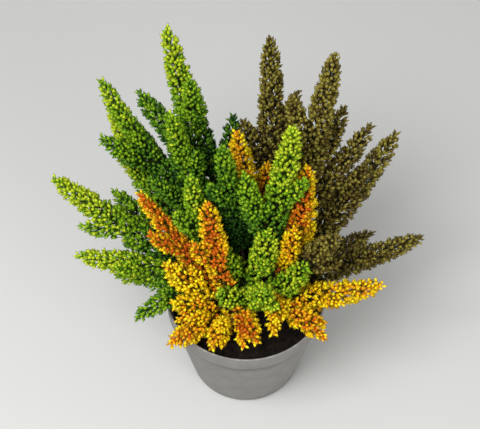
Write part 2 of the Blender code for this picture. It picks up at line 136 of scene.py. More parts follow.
# Twigs, which carry the rule on from the part's sprigs. A twig too long for its place is cut to shares of
# its length. Deepest and furthest bound how far out in the plume its tip may lie.
Growth = namedtuple("Growth", "cuts least curl points deepest furthest")
TWIG = Growth((1.0, 0.8, 0.62, 0.46), 0.0022, 0.16, 6, 0.0, math.inf)
TWIGLET = Growth((1.0, 0.8, 0.62, 0.48), 0.0019, 0.12, 4, 0.52, 1.04)
STEP_SPREAD = (0.85, 1.15)
TWIG_ANGLE = 42.0
TWIG_ANGLE_SPREAD = 6.0
TWIG_FOOT_ANGLE = 62.0
TWIG_FOOT_LENGTH = 0.010
TWIG_ROUND_END = 0.014
TWIG_END_SHARE = 0.60
TWIG_LOOK_AHEAD = 0.8
TWIG_ROOM = 0.0009
TWIG_THICKNESS = 0.00042
TWIG_TIP_SHARE = 0.45
TWIG_STRETCH = (0.88, 1.08)
FIRST_TWIG, FIRST_SIDE_TWIG = 0.6, 2.5
AXIS_THICKNESS, SIDE_AXIS_THICKNESS, AXIS_TIP_THICKNESS = 0.00095, 0.00065, 0.00035
TWIGLET_ANGLE = 42.0
TWIGLET_ANGLE_SPREAD = 8.0
TWIGLET_FIRST = 0.20
TWIGLET_FIRST_LEAST = 0.0016
TWIGLET_LAST = 0.0008
TWIGLET_LONGEST = 0.0056
TWIGLET_AT_TIP, TWIGLET_TAPER = 0.0026, 0.55
TWIGLET_STRETCH = (0.85, 1.1)
BEAD_LENGTH = 0.0026
LEAFY_LENGTH = 0.0042
INNER_START = 0.0004
INNER_LEAST = 0.0008
CLOTHED_START = 0.003
CLOTHED_STEP = 0.012
CLOTHED_LEAF_SIZE = 0.90
TIP_BEADS = 0.014
LEAVES_A_WHORL = 3
LEAF_SEAT = 0.88
LEAF_WIDEST = 0.57
LEAF_KEEL = 0.22
LEAF_FACES = ((0, 1, 3), (0, 3, 2), (0, 2, 1), (1, 2, 3))
MOST_TRIANGLES_A_PIECE = 190000
TRIANGLES_A_WHORL = 12
TRIANGLES_A_BEAD = 20

Cutting = namedtuple("Cutting", "name x y")
CUTTINGS = (
    Cutting("green_left", -0.020, 0.004),
    Cutting("green_back", -0.003, 0.018),
    Cutting("green_front", 0.007, -0.008),
    Cutting("gold_front", -0.009, -0.018),
    Cutting("gold_right", 0.022, -0.009),
    Cutting("gold_back", 0.012, 0.027),
    Cutting("bronze_right", 0.021, 0.010),
)

# Azimuth is counted from +X towards +Y, lean from straight up, both in degrees and along the chord.
# Fresh is how far the young, light colour runs down the shoot, below zero where even its tip is dark, and
# warm is how much orange it has.
Shoot = namedtuple("Shoot", "cutting name azimuth lean length bend girth fresh warm")
SHOOTS_OF = {
    "green_left": (
        ("big_left", 132, 59, 0.150, 0.10, 0.0130, 0.95, 0.10),
        ("left", 165, 60, 0.142, 0.09, 0.0125, 0.70, 0.00),
        ("low_left", 181, 75, 0.106, -0.04, 0.0115, 0.70, 0.00),
        ("hanging", 216, 80, 0.070, -0.26, 0.0100, -0.30, 0.00),
        ("upright_left", 155, 10, 0.106, 0.05, 0.0100, 0.45, 0.00),
    ),
    "green_back": (
        ("tall", 124, 34, 0.190, 0.10, 0.0130, 0.60, 0.04),
        ("back_left", 147, 45, 0.178, 0.12, 0.0105, 0.35, 0.00),
        ("inner_left", 146, 27, 0.138, 0.17, 0.0105, 0.15, 0.00),
        ("inner", 165, 7, 0.124, 0.0, 0.0100, -0.25, 0.00),
    ),
    "green_front": (
        ("upright", 65, 19, 0.148, 0.08, 0.0130, 0.75, 0.00),
        ("tuft", 60, 12, 0.064, 0.04, 0.0130, 0.60, 0.00),
        ("tuft_left", 158, 34, 0.060, 0.10, 0.0125, 0.40, 0.00),
        ("tuft_right", 0, 36, 0.062, 0.10, 0.0125, 0.40, 0.08),
        ("tuft_front", 285, 30, 0.050, 0.08, 0.0120, 0.55, 0.10),
        ("tuft_near", 212, 40, 0.046, 0.08, 0.0125, 0.45, 0.00),
    ),
    "gold_front": (
        ("orange_up", 125, 19, 0.092, 0.10, 0.0120, 0.40, 0.62),
        ("yellow", 172, 50, 0.062, 0.10, 0.0135, 0.80, 0.18),
        ("yellow_low", 196, 64, 0.048, 0.04, 0.0110, 0.70, 0.25),
        ("rim_left", 223, 76, 0.058, -0.16, 0.0125, 0.60, 0.36),
        ("rim_front", 254, 76, 0.042, -0.20, 0.0120, 0.60, 0.30),
        ("rim_middle", 300, 72, 0.044, -0.22, 0.0110, 0.55, 0.45),
        ("amber", 146, 50, 0.106, 0.04, 0.0090, 0.35, 0.70),
    ),
    "gold_right": (
        ("rim_right", 314, 75, 0.054, -0.20, 0.0112, 0.60, 0.36),
        ("rim_inner", 270, 62, 0.036, -0.10, 0.0110, 0.50, 0.30),
        ("reach", 355, 64, 0.082, 0.08, 0.0110, 0.65, 0.22),
        ("flame", 69, 24, 0.108, 0.10, 0.0155, 0.60, 0.50),
    ),
    "gold_back": (
        ("gold_rear", 82, 62, 0.106, 0.10, 0.0110, 0.45, 0.45),
        ("gold_rear_up", 140, 15, 0.116, 0.05, 0.0100, 0.50, 0.40),
        ("green_rear", 122, 76, 0.096, 0.05, 0.0115, 0.45, 0.08),
    ),
    "bronze_right": (
        ("brown_near", 330, 29, 0.094, 0.08, 0.0110, 0.60, 0.00),
        ("brown_back", 97, 37, 0.178, 0.10, 0.0125, 0.60, 0.00),
        ("brown_tall", 64, 23, 0.180, 0.06, 0.0125, 0.70, 0.00),
        ("brown_side", 38, 46, 0.142, 0.10, 0.0120, 0.55, 0.06),
        ("brown_low", 7, 66, 0.114, 0.08, 0.0110, 0.50, 0.04),
    ),
}
SHOOTS = [Shoot(cutting, *row) for cutting, rows in SHOOTS_OF.items() for row in rows]

# Leaf colours from a shoot's tip to its foot, by the record's slot, and the darker colour a step further
# inside, which is painted shade
GREENS = ("lime", "bright", "leaf", "deep")
GOLDS = ("straw", "gold", "ochre", "orange", "rust", "olive")
BRONZES = ("khaki", "brown", "umber")
TINTS_OF = {"green_foliage": GREENS, "gold_foliage": GOLDS, "bronze_foliage": BRONZES}
DEEPER = {
    "lime": "bright",
    "bright": "leaf",
    "leaf": "deep",
    "straw": "gold",
    "gold": "ochre",
    "orange": "rust",
    "ochre": "olive",
    "khaki": "brown",
    "brown": "umber",
}

# How far a twig's age, its depth in the plume, the sun and the shoot's freshness move its colour along the
# row from young to old, and how widely chance spreads it. The depth weight is painted shade, deeper inside
# the plume, and the sun weight is painted light, lighter on the side that faces the light.
Weights = namedtuple("Weights", "age depth sun fresh chance")
GREEN_WEIGHTS = Weights(1.0, 1.5, 0.5, 1.4, 0.22)
BRONZE_WEIGHTS = Weights(1.3, 1.8, 0.35, 1.1, 0.34)
USUAL_FRESHNESS = 0.6
# The way towards the light: green and bronze sprays that face it get lighter tints as painted light, and
# golden sprays that face away from it get ochre as painted shade.
SUNWARD = np.array([0.0, -0.5, 0.866])
GREENING = 0.050
OLIVE_SHARE, OLIVE_CHANCE = 0.16, 0.6
RUST_HEAT, RUST_CHANCE = 0.41, 0.7
ORANGE_HEAT = 0.24
SHADED_SIDE = -0.35

# The stage: the camera stands where the photograph's stood and is aimed at the plant's middle
CAMERA_PLACE = Vector((0.027, -0.489, 0.8515))
CAMERA_AIM = Vector((-0.007, 0.0417, 0.134))
CAMERA_LENS = 90.0
SENSOR_WIDTH = 36.0
Lamp = namedtuple("Lamp", "place aim width")
KEY_LAMP = Lamp((-0.45, -0.55, 1.20), (0, 0.02, 0.12), 0.85)
FILL_LAMP = Lamp((0.75, -0.80, 0.60), (0, 0.0, 0.10), 0.60)
SKY_COLOUR = (1.0, 0.99, 0.975, 1.0)


def linear(red, green, blue):
    """Linear light from screen colour numbers of 0 to 255."""
    shares = [value / 255 for value in (red, green, blue)]
    return tuple(s / 12.92 if s <= 0.04045 else ((s + 0.055) / 1.055) ** 2.4 for s in shares)


def colour(name, description, screen):
    return FloatVectorProperty(
        name=name, description=description, default=linear(*screen), size=3, min=0, max=1, subtype="COLOR"
    )


def number(name, description, default, **more):
    return FloatProperty(name=name, description=description, default=default, min=0, **more)


def size(name, description, metres):
    return number(name, description, metres, precision=5, unit="LENGTH", subtype="DISTANCE")


# What a user would change


class PotSettings(PropertyGroup):
    """Sizes and colours of the nursery pot."""

    height: size("Height", "Height of the rim above the ground", POT_TOP.z)
    rim_radius: size("Rim Radius", "Outer radius of the rim", POT_TOP.x)
    lip_round: size("Lip Rounding", "Radius of the rim's rounded top edge", 0.0006)
    plastic: colour("Plastic", "Colour of the moulded plastic", (124, 122, 118))
    scuffed: colour("Scuffed Plastic", "Colour where the plastic is rubbed pale", (158, 156, 150))
    dust: colour("Peat Dust", "Colour of the dust that clings to the wall", (52, 40, 30))


class PeatSettings(PropertyGroup):
    """Sizes and colours of the potting peat."""

    roughness: size("Surface Height", "How far lumps stand above the peat's level", 0.0016)
    crumb_size: size("Crumb Size", "Radius of an average crumb", 0.00085)
    crumbs: number("Crumbs", "Crumbs on each square metre of the surface", 190000)
    dark: colour("Dark Peat", "Colour of the moist hollows", (9, 6, 5))
    light: colour("Light Peat", "Colour of the drier crumbs", (36, 26, 18))
    seed: IntProperty(name="Seed", description="Seed of the crumbs' places", default=4, min=0)


class WoodSettings(PropertyGroup):
    """Relief and colours of the bark."""

    relief: size("Bark Relief", "Depth of the bark's furrows", 0.00028)
    furrow: colour("Furrows", "Colour in the bark's furrows", (46, 33, 24))
    ridge: colour("Ridges", "Colour of the bark's ridges", (124, 98, 74))


class LeafSettings(PropertyGroup):
    """Sizes of the twigs and their scale leaves."""

    twig_step: size("Twig Step", "Distance between twigs along a spire", 0.00085)
    twiglet_step: size("Twiglet Step", "Distance between twiglets along a twig", 0.00080)
    tip_spacing: size("Tip Spacing", "Least distance between two twig tips of one plume", 0.00275)
    bead: size("Bead Radius", "Radius of the leafy end of a twig, under its leaves", 0.00138)
    pitch: size("Leaf Pitch", "Distance between two whorls of leaves", 0.00130)
    length: size("Leaf Length", "Length of a scale leaf", 0.00165)
    width: size("Leaf Width", "Width of a scale leaf", 0.00215)
    lift: size("Leaf Lift", "How far a leaf's tip stands off its seat", 0.00042)
    seed: IntProperty(name="Seed", description="Seed of the twigs and their colours", default=500, min=0)


class LeafColours(PropertyGroup):
    """Plain colours that are dealt out to the sprays of leaves. The deeper ones also serve as painted shade
    inside the plumes, and ochre as painted shade on the golden shoots' side away from the light.
    """

    lime: colour("Lime", "Young tips of the green shoots", (186, 204, 40))
    bright: colour("Bright Green", "Upper part of the green shoots", (132, 172, 26))
    leaf: colour("Leaf Green", "Middle of the green shoots", (88, 134, 24))
    deep: colour("Deep Green", "Foot and inside of the green shoots", (42, 84, 22))
    straw: colour("Straw Yellow", "Young tips of the golden shoots", (250, 224, 30))
    gold: colour("Gold", "Body of the golden shoots", (246, 204, 12))
    ochre: colour("Ochre", "Shaded side and inside of the golden shoots", (208, 152, 14))
    orange: colour("Orange", "Sunny side of the golden shoots", (238, 174, 20))
    rust: colour("Rust", "Sunniest line of the golden shoots", (208, 106, 18))
    olive: colour("Olive", "Foot of the golden shoots", (150, 144, 24))
    khaki: colour("Khaki", "Young tips of the bronze shoots", (142, 132, 54))
    brown: colour("Olive Brown", "Body of the bronze shoots", (104, 91, 36))
    umber: colour("Umber", "Foot and inside of the bronze shoots", (66, 54, 24))
    twig: colour("Twig", "Thin twigs inside the plumes", (62, 60, 28))


class StageSettings(PropertyGroup):
    """The floor and the light."""

    floor: colour("Floor", "Colour of the floor", (196, 197, 195))
    key: number("Key Light", "Power of the large light above", 18.0, unit="POWER")
    fill: number("Fill Light", "Power of the light beside the camera", 4.0, unit="POWER")
    sky: number("Sky", "Strength of the even light all round", 0.52)


class HeatherSettings(PropertyGroup):
    """All settings of the potted heather."""

    pot: PointerProperty(type=PotSettings)
    peat: PointerProperty(type=PeatSettings)
    wood: PointerProperty(type=WoodSettings)
    leaves: PointerProperty(type=LeafSettings)
    colours: PointerProperty(type=LeafColours)
    stage: PointerProperty(type=StageSettings)


# Shader maths


class Value:
    """A node's output socket. Arithmetic on it adds Math nodes."""

    def __init__(self, finish, socket):
        self.finish, self.socket = finish, socket

    def maths(self, operation, *terms, clamped=False):
        settings = {"operation": operation, "use_clamp": clamped}
        return self.finish.node("ShaderNodeMath", dict(enumerate(terms)), **settings)

    def __add__(self, other):
        return self.maths("ADD", self, other)

    def __sub__(self, other):
        return self.maths("SUBTRACT", self, other)

    def __rsub__(self, other):
        return self.maths("SUBTRACT", other, self)

    def __mul__(self, other):
        return self.maths("MULTIPLY", self, other)

    def __gt__(self, other):
        return self.maths("GREATER_THAN", self, other)

    __radd__ = __add__
    __rmul__ = __mul__

    def held(self):
        """The value kept between 0 and 1."""
        return self.maths("MULTIPLY", self, 1.0, clamped=True)


class Finish:
    """A node tree and the one method that adds to it."""

    def __init__(self, tree):
        self.tree = tree

    def node(self, kind, inputs=None, output=0, **settings):
        """Adds a node, makes its settings first, then fills its sockets with values or links."""
        made = self.tree.nodes.new(kind)
        for key, value in settings.items():
            setattr(made, key, value)
        for key, value in (inputs or {}).items():
            if isinstance(value, Value):
                self.tree.links.new(value.socket, made.inputs[key])
            else:
                made.inputs[key].default_value = value
        return Value(self, made.outputs[output]) if made.outputs else None

    def place(self, stretched=None):
        """The point in the piece's own metres, stretched along the axes where that is asked for."""
        point = self.node("ShaderNodeTexCoord", output="Object")
        return self.node("ShaderNodeMapping", {"Vector": point, "Scale": stretched}) if stretched else point

    def noise(self, where, scale, detail=4.0, roughness=0.6):
        inputs = {"Vector": where, "Scale": scale, "Detail": detail, "Roughness": roughness}
        return self.node("ShaderNodeTexNoise", inputs, "Fac")

    def band(self, value, low, high):
        """0 below low, 1 above high, and a soft step between."""
        inputs = {"Value": value, "From Min": low, "From Max": high}
        return self.node("ShaderNodeMapRange", inputs, interpolation_type="SMOOTHSTEP")

    def patches(self, low, high, where, scale, *grain):
        """Soft-edged patches where noise rises from low to high."""
        return self.band(self.noise(where, scale, *grain), low, high)

    def blend(self, first, second, share):
        """A colour between two."""
        return self.node("ShaderNodeMix", {0: share, 6: first, 7: second}, 2, data_type="RGBA")


def shaded(tone, factor=1.0):
    """The colour for a socket, darker or lighter by a factor."""
    return tuple(min(1.0, value * factor) for value in tone) + (1.0,)


def uneven(least, spread, *grain):
    """A roughness that rises from least by up to spread, by noise."""
    return lambda finish: least + finish.noise(finish.place(), *grain) * spread


def grainy(*grain):
    """A height from noise of that scale."""
    return lambda finish: finish.noise(finish.place(), *grain)


def surface(name, tone, roughness, height=None, depth=0.0001, specular=0.5):
    """A material: what changes goes to colour, roughness and bump, and the rest is set on the shader."""
    material = bpy.data.materials.new(name)
    material.use_nodes = True
    material.node_tree.nodes.clear()
    finish = Finish(material.node_tree)
    inputs = {"Base Color": tone(finish), "Roughness": roughness(finish), "Specular IOR Level": specular}
    if height:
        bump = {"Strength": 1.0, "Distance": depth, "Height": height(finish)}
        inputs["Normal"] = finish.node("ShaderNodeBump", bump)
    shader = finish.node("ShaderNodeBsdfPrincipled", inputs)
    finish.node("ShaderNodeOutputMaterial", {"Surface": shader})
    return material


def plastic_finish(own):
    """Matt moulded plastic: mottled, rubbed pale at the lip, darkened as painted shade under the collar and
    dusty low down.
    """
    collar = POT_HEIGHT - COLLAR_HEIGHT

    def tone(finish):
        here = finish.place()
        mottle = finish.patches(0.35, 0.65, here, 90.0)
        base = finish.blend(shaded(own.plastic, 0.93), shaded(own.plastic, 1.07), mottle)
        height = finish.node("ShaderNodeSeparateXYZ", {"Vector": here}, "Z")
        lip = finish.band(height, POT_HEIGHT - 0.0016, POT_HEIGHT - 0.0002)
        lip = lip * finish.patches(0.45, 0.70, here, 240.0, 6.0)
        rubbed = finish.blend(base, shaded(own.scuffed), (lip * 0.8).held())
        # Painted shade: a dark band on the wall just under the collar's overhang, where its shadow falls.
        painted_collar_shade = finish.band(height, collar - 0.0140, collar - 0.0030)
        painted_collar_shade = painted_collar_shade * (1 - finish.band(height, collar - 0.0018, collar))
        with_collar_shade = finish.blend(rubbed, shaded(own.plastic, 0.42), (painted_collar_shade * 0.8).held())
        low = (1 - finish.band(height, 0.0, 0.010)) * 0.55
        specks = finish.patches(0.66, 0.74, here, 420.0, 3.0) * 0.5
        dirt = ((low + specks) * finish.patches(0.30, 0.75, here, 60.0)).held()
        return finish.blend(with_collar_shade, shaded(own.dust), dirt)

    def height(finish):
        grain = finish.noise(finish.place(), 1500.0, 2.0)
        draw = finish.noise(finish.place((1, 1, 14)), 60.0, 2.0)
        return grain * 0.5 + draw * 0.5

    return surface("pot_plastic", tone, uneven(0.46, 0.22, 130.0), height, 0.00012, 0.42)


def peat_finish(name, own, lightness):
    """Moist peat: dark hollows, drier crumbs and a few pale fibres."""

    def tone(finish):
        clods = finish.patches(0.38, 0.66, finish.place(), 260.0, 6.0, 0.7)
        earth = finish.blend(shaded(own.dark, lightness), shaded(own.light, lightness), clods)
        fibres = finish.patches(0.70, 0.76, finish.place((1, 6, 1)), 420.0, 2.0)
        return finish.blend(earth, shaded(own.light, 2.2 * lightness), fibres * 0.6)

    return surface(name, tone, uneven(0.78, 0.2, 300.0), grainy(900.0, 6.0, 0.75), 0.0004, 0.25)


def bark_finish(own):
    """Grey-brown bark with furrows that run up the limb."""

    def streaks(finish):
        return finish.noise(finish.place((1, 1, 0.22)), 900.0, 5.0, 0.65)

    def tone(finish):
        bark = finish.blend(shaded(own.furrow), shaded(own.ridge), finish.band(streaks(finish), 0.36, 0.64))
        scars = finish.patches(0.62, 0.70, finish.place(), 1300.0, 2.0)
        return finish.blend(bark, shaded(own.furrow, 0.7), scars * 0.7)

    def roughness(finish):
        return 0.74 + streaks(finish) * 0.2

    return surface("bark", tone, roughness, streaks, 0.00025, 0.3)


def leaf_finish(name, colour_of_leaf):
    """A waxy scale leaf: its plain colour, a little lighter or darker from leaf to leaf."""

    def tone(finish):
        near = finish.patches(0.32, 0.68, finish.place(), 620.0, 3.0)
        return finish.blend(shaded(colour_of_leaf, 0.74), shaded(colour_of_leaf, 1.14), near)

    return surface(name, tone, uneven(0.48, 0.22, 700.0, 2.0), grainy(2600.0, 2.0), 0.00006, 0.18)


def floor_finish(own):
    """A plain pale floor with a very faint cloudiness."""

    def tone(finish):
        return finish.blend(shaded(own.floor, 0.985), shaded(own.floor, 1.01), grainy(5.0)(finish))

    return surface("floor", tone, uneven(0.62, 0.1, 30.0))


# Mesh helpers


def add_object(name, data, material=None):
    thing = bpy.data.objects.new(name, data)
    if material:
        data.materials.clear()
        data.materials.append(material)
    bpy.context.scene.collection.objects.link(thing)
    return thing


def applied(thing):
    """The object again with its modifiers made part of a plain mesh."""
    graph = bpy.context.evaluated_depsgraph_get()
    mesh = bpy.data.meshes.new_from_object(thing.evaluated_get(graph))
    old = thing.data
    thing.modifiers.clear()
    thing.data = mesh
    bpy.data.meshes.remove(old)
    mesh.name = thing.name
    return thing


def claim(piece, slot, *nodes):
    """The piece rides on the root body and stands for the nodes, which are hidden. The slot is not used."""
    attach(piece, "root")
    if nodes:
        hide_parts(*nodes)


def circle(count, start=0.0):
    """Evenly spaced turns round a circle, the first one a share of a step on."""
    return [2 * math.pi * (k + start) / count for k in range(count)]


def ring_faces(rings, sides, first=0):
    """Four-cornered faces between neighbouring rings of points."""
    faces = []
    for here in range(first, first + (rings - 1) * sides, sides):
        there = here + sides
        for k in range(sides):
            after = (k + 1) % sides
            faces.append((here + k, here + after, there + after, there + k))
    return faces


def revolved(profile, segments):
    """Points and faces of a profile turned round +Z; its two ends lie on the axis."""
    turns = np.linspace(0, 2 * math.pi, segments, endpoint=False)
    inner = profile[1:-1]
    points = [(0.0, 0.0, profile[0][1])]
    points += [(r * math.cos(a), r * math.sin(a), z) for r, z in inner for a in turns]
    points.append((0.0, 0.0, profile[-1][1]))
    last, end = 1 + (len(inner) - 1) * segments, len(points) - 1
    faces = [(0, 1 + (k + 1) % segments, 1 + k) for k in range(segments)]
    faces += ring_faces(len(inner), segments, first=1)
    faces += [(end, last + k, last + (k + 1) % segments) for k in range(segments)]
    return points, faces


def joined(shapes):
    """The points and faces of several shapes as those of one."""
    points, faces = [], []
    for own_points, own_faces in shapes:
        faces += [tuple(k + len(points) for k in face) for face in own_faces]
        points += list(own_points)
    return points, faces


def closed_mesh(name, points, faces, smooth=True):
    """A mesh from points and faces with its normals turned outwards."""
    mesh = bpy.data.meshes.new(name)
    mesh.from_pydata([tuple(p) for p in points], [], faces)
    bm = bmesh.new()
    bm.from_mesh(mesh)
    bmesh.ops.recalc_face_normals(bm, faces=bm.faces)
    bm.to_mesh(mesh)
    bm.free()
    if smooth:
        mesh.shade_smooth()
    return mesh


def rounded(corners, steps=4):
    """Points of a section from its corners, which are each rounded off by the radius given third."""
    made = [corners[0][:2]]
    for before, corner, after in zip(corners, corners[1:], corners[2:]):
        here = np.array(corner[:2])
        back, on = np.array(before[:2]) - here, np.array(after[:2]) - here
        reach = min(corner[2], 0.45 * np.linalg.norm(back), 0.45 * np.linalg.norm(on))
        if reach < LEAST_ROUND:
            made.append(corner[:2])
            continue
        start, end = here + unit(back) * reach, here + unit(on) * reach
        for t in np.linspace(0, 1, steps + 1):
            made.append(tuple((1 - t) ** 2 * start + 2 * t * (1 - t) * here + t**2 * end))
    return made + [corners[-1][:2]]


# Geometry node trees


def new_tree(name, inputs):
    """An empty geometry tree, its maker and its inputs, each named with its default or its kind."""
    tree = bpy.data.node_groups.new(name, "GeometryNodeTree")
    tree.interface.new_socket("Geometry", in_out="INPUT", socket_type="NodeSocketGeometry")
    for label, default in inputs.items():
        kind = default if isinstance(default, str) else "Float"
        socket = tree.interface.new_socket(label, in_out="INPUT", socket_type="NodeSocket" + kind)
        if kind == "Float":
            socket.default_value = default
    tree.interface.new_socket("Geometry", in_out="OUTPUT", socket_type="NodeSocketGeometry")
    maker = Finish(tree)
    source = tree.nodes.new("NodeGroupInput")
    return tree, maker, {socket.name: Value(maker, socket) for socket in source.outputs if socket.name}


def end_tree(maker, geometry, material):
    """Realizes the instances, sets the material and closes the tree."""
    real = maker.node("GeometryNodeRealizeInstances", {"Geometry": geometry})
    done = maker.node("GeometryNodeSetMaterial", {"Geometry": real, "Material": material})
    maker.node("NodeGroupOutput", {"Geometry": done})


def named(maker, name):
    """A float attribute of the geometry."""
    return maker.node("GeometryNodeInputNamedAttribute", {"Name": name}, data_type="FLOAT")


def chance(maker, low, high, seed):
    """A random number for every point, or a random vector between two."""
    kind = "FLOAT_VECTOR" if isinstance(low, tuple) else "FLOAT"
    limits = {"Min": low, "Max": high, "Seed": seed}
    return maker.node("FunctionNodeRandomValue", limits, "Value", data_type=kind)


def shape_of(maker, thing):
    return maker.node("GeometryNodeObjectInfo", {"Object": thing}, "Geometry")


def bodies(maker, strands, sides):
    """Round bodies along the strands, closed at both ends."""
    ring = maker.node("GeometryNodeCurvePrimitiveCircle", {"Resolution": sides, "Radius": 1.0})
    section = {"Profile Curve": ring, "Scale": named(maker, "radii"), "Fill Caps": True}
    return maker.node("GeometryNodeCurveToMesh", {"Curve": strands, **section})


def leaf_tree(name):
    """Gives every strand a round body and sets whorls of leaves along it, each turned past the last."""
    inputs = {
        "Pitch": 0.001,
        "Turn": math.pi / LEAVES_A_WHORL,
        "Wobble": 0.25,
        "Least Size": 0.92,
        "Most Size": 1.08,
        "Leaf Whorl": "Object",
        "Material": "Material",
        "Seed": "Int",
    }
    tree, maker, given = new_tree(name, inputs)
    strands = maker.node("GeometryNodeMeshToCurve", {"Mesh": given["Geometry"]})
    spots = {"Curve": strands, "Length": given["Pitch"]}
    points = maker.node("GeometryNodeCurveToPoints", spots, mode="LENGTH")
    facing = Value(maker, points.socket.node.outputs["Rotation"])
    wobble = chance(maker, -1.0, 1.0, given["Seed"])
    roll = maker.node("GeometryNodeInputIndex") * given["Turn"] + wobble * given["Wobble"]
    turned = maker.node("FunctionNodeAxisAngleToRotation", {"Axis": (0, 0, 1), "Angle": roll})
    both = {"Rotation": facing, "Rotate By": turned}
    rotation = maker.node("FunctionNodeRotateRotation", both, rotation_space="LOCAL")
    growth = chance(maker, given["Least Size"], given["Most Size"], given["Seed"] + 7)
    length = growth * named(maker, "leaf_size")
    girth = length * named(maker, "leaf_open")
    scale = maker.node("ShaderNodeCombineXYZ", {"X": girth, "Y": girth, "Z": length})
    placed = {"Points": points, "Selection": length > 0.01, "Rotation": rotation, "Scale": scale}
    placed["Instance"] = shape_of(maker, given["Leaf Whorl"])
    leaves = maker.node("GeometryNodeInstanceOnPoints", placed)
    beads = maker.node("GeometryNodeSetShadeSmooth", {"Geometry": bodies(maker, strands, 4)})
    both = maker.node("GeometryNodeJoinGeometry")
    for part in (leaves, beads):
        tree.links.new(part.socket, both.socket.node.inputs["Geometry"])
    end_tree(maker, both, given["Material"])
    return tree


def twig_tree(name):
    """Gives every strand a thin round body."""
    tree, maker, given = new_tree(name, {"Sides": "Int", "Material": "Material"})
    strands = maker.node("GeometryNodeMeshToCurve", {"Mesh": given["Geometry"]})
    end_tree(maker, bodies(maker, strands, given["Sides"]), given["Material"])
    return tree


def crumb_tree(name):
    """Strews turned and stretched crumbs over a surface."""
    inputs = {
        "Density": 1000.0,
        "Crumb Radius": 0.001,
        "Crumb": "Object",
        "Material": "Material",
        "Seed": "Int",
    }
    tree, maker, given = new_tree(name, inputs)
    spots = {"Mesh": given["Geometry"], "Density": given["Density"], "Seed": given["Seed"]}
    points = maker.node("GeometryNodeDistributePointsOnFaces", spots)
    turns = chance(maker, (-math.pi,) * 3, (math.pi,) * 3, given["Seed"])
    rotation = maker.node("FunctionNodeEulerToRotation", {"Euler": turns})
    stretch = chance(maker, (0.45, 0.45, 0.35), (1.35, 1.2, 1.0), given["Seed"] + 3)
    sized = {0: stretch, "Scale": given["Crumb Radius"]}
    scale = maker.node("ShaderNodeVectorMath", sized, operation="SCALE")
    placed = {"Points": points, "Rotation": rotation, "Scale": scale}
    placed["Instance"] = shape_of(maker, given["Crumb"])
    end_tree(maker, maker.node("GeometryNodeInstanceOnPoints", placed), given["Material"])
    return tree


def grown_mesh(thing, name, build, values):
    """Runs the geometry tree of that name, built at its first use, and keeps the plain mesh."""
    tree = bpy.data.node_groups.get(name) or build(name)
    modifier = thing.modifiers.new(tree.name, "NODES")
    modifier.node_group = tree
    for socket in tree.interface.items_tree:
        if socket.in_out == "INPUT" and socket.name in values:
            modifier[socket.identifier] = values[socket.name]
    return applied(thing)


def strand_mesh(name, strands, *fields):
    """A mesh of open polylines with a float attribute for each of the strands' named fields."""
    points = np.vstack([strand.points for strand in strands])
    ends = np.cumsum([len(strand.points) for strand in strands])
    first = np.arange(len(points) - 1)
    first = first[~np.isin(first + 1, ends)]
    mesh = bpy.data.meshes.new(name)
    mesh.from_pydata(points.tolist(), np.stack([first, first + 1], axis=1).tolist(), [])
    for field in fields:
        values = np.concatenate([getattr(strand, field) for strand in strands])
        mesh.attributes.new(field, "FLOAT", "POINT").data.foreach_set("value", values.astype(np.float32))
    return mesh


# The growth rule of the part's source


def unit(vector):
    return vector / np.linalg.norm(vector)


def heading(azimuth, lean):
    """The unit vector at an azimuth from +X and a lean from straight up, in degrees."""
    turn, tilt = math.radians(azimuth), math.radians(lean)
    flat = math.sin(tilt)
    return np.array([math.cos(turn) * flat, math.sin(turn) * flat, math.cos(tilt)])


def bowed(root, shoot):
    """Evenly spaced points of the shoot's quadratic curve, bowed by bend times its length."""
    tip = root + shoot.length * heading(shoot.azimuth, shoot.lean)
    sag = shoot.bend * shoot.length * heading(shoot.azimuth, shoot.lean - 90.0)
    middle = (root + tip) / 2 - sag
    t = np.linspace(0.0, 1.0, max(8, round(shoot.length / SAMPLE_STEP)))[:, None]
    return (1 - t) ** 2 * root + 2 * t * (1 - t) * middle + t**2 * tip


def tangents(points):
    slopes = np.gradient(points, axis=0)
    return slopes / np.linalg.norm(slopes, axis=1)[:, None]


def lengths_along(points):
    steps = np.linalg.norm(np.diff(points, axis=0), axis=1)
    return np.concatenate([[0.0], np.cumsum(steps)])


def across(direction, turn):
    """A unit vector square to direction, turned round it by turn degrees."""
    helper = np.array([0.0, 0.0, 1.0]) if abs(direction[2]) < 0.9 else np.array([1.0, 0.0, 0.0])
    side = unit(np.cross(helper, direction))
    angle = math.radians(turn)
    return math.cos(angle) * side + math.sin(angle) * np.cross(direction, side)


def between(at, along, rows):
    """The rows interpolated at one or more distances along a path."""
    return np.stack([np.interp(at, along, rows[:, i]) for i in range(3)], axis=-1)


def resampled(points, start, end, step):
    """The part of a path between two distances along it, at an even step."""
    at = np.linspace(start, end, max(2, round((end - start) / step)))
    return between(at, lengths_along(points), points)


Limb = namedtuple("Limb", "name points radii")


class Spire:
    """One foliated axis of a plume: its points, tangents and the plume's radius at each."""

    def __init__(self, shoot, points, girth, is_side=False):
        self.shoot, self.mass, self.points, self.is_side = shoot, shoot.name, points, is_side
        self.tangents = tangents(points)
        self.along = lengths_along(points)
        self.length = self.along[-1]
        from_tip = np.minimum(1.0, (self.length - self.along) / (TAPER_SHARE * self.length))
        wide = TIP_RADIUS + (girth - TIP_RADIUS) * from_tip**TAPER_POWER
        foot = FOOT_SHARE + (1 - FOOT_SHARE) * np.minimum(1.0, self.along / FOOT_LENGTH)
        self.plume = wide * foot

    def at(self, distance):
        return min(len(self.points) - 1, int(np.searchsorted(self.along, distance)))


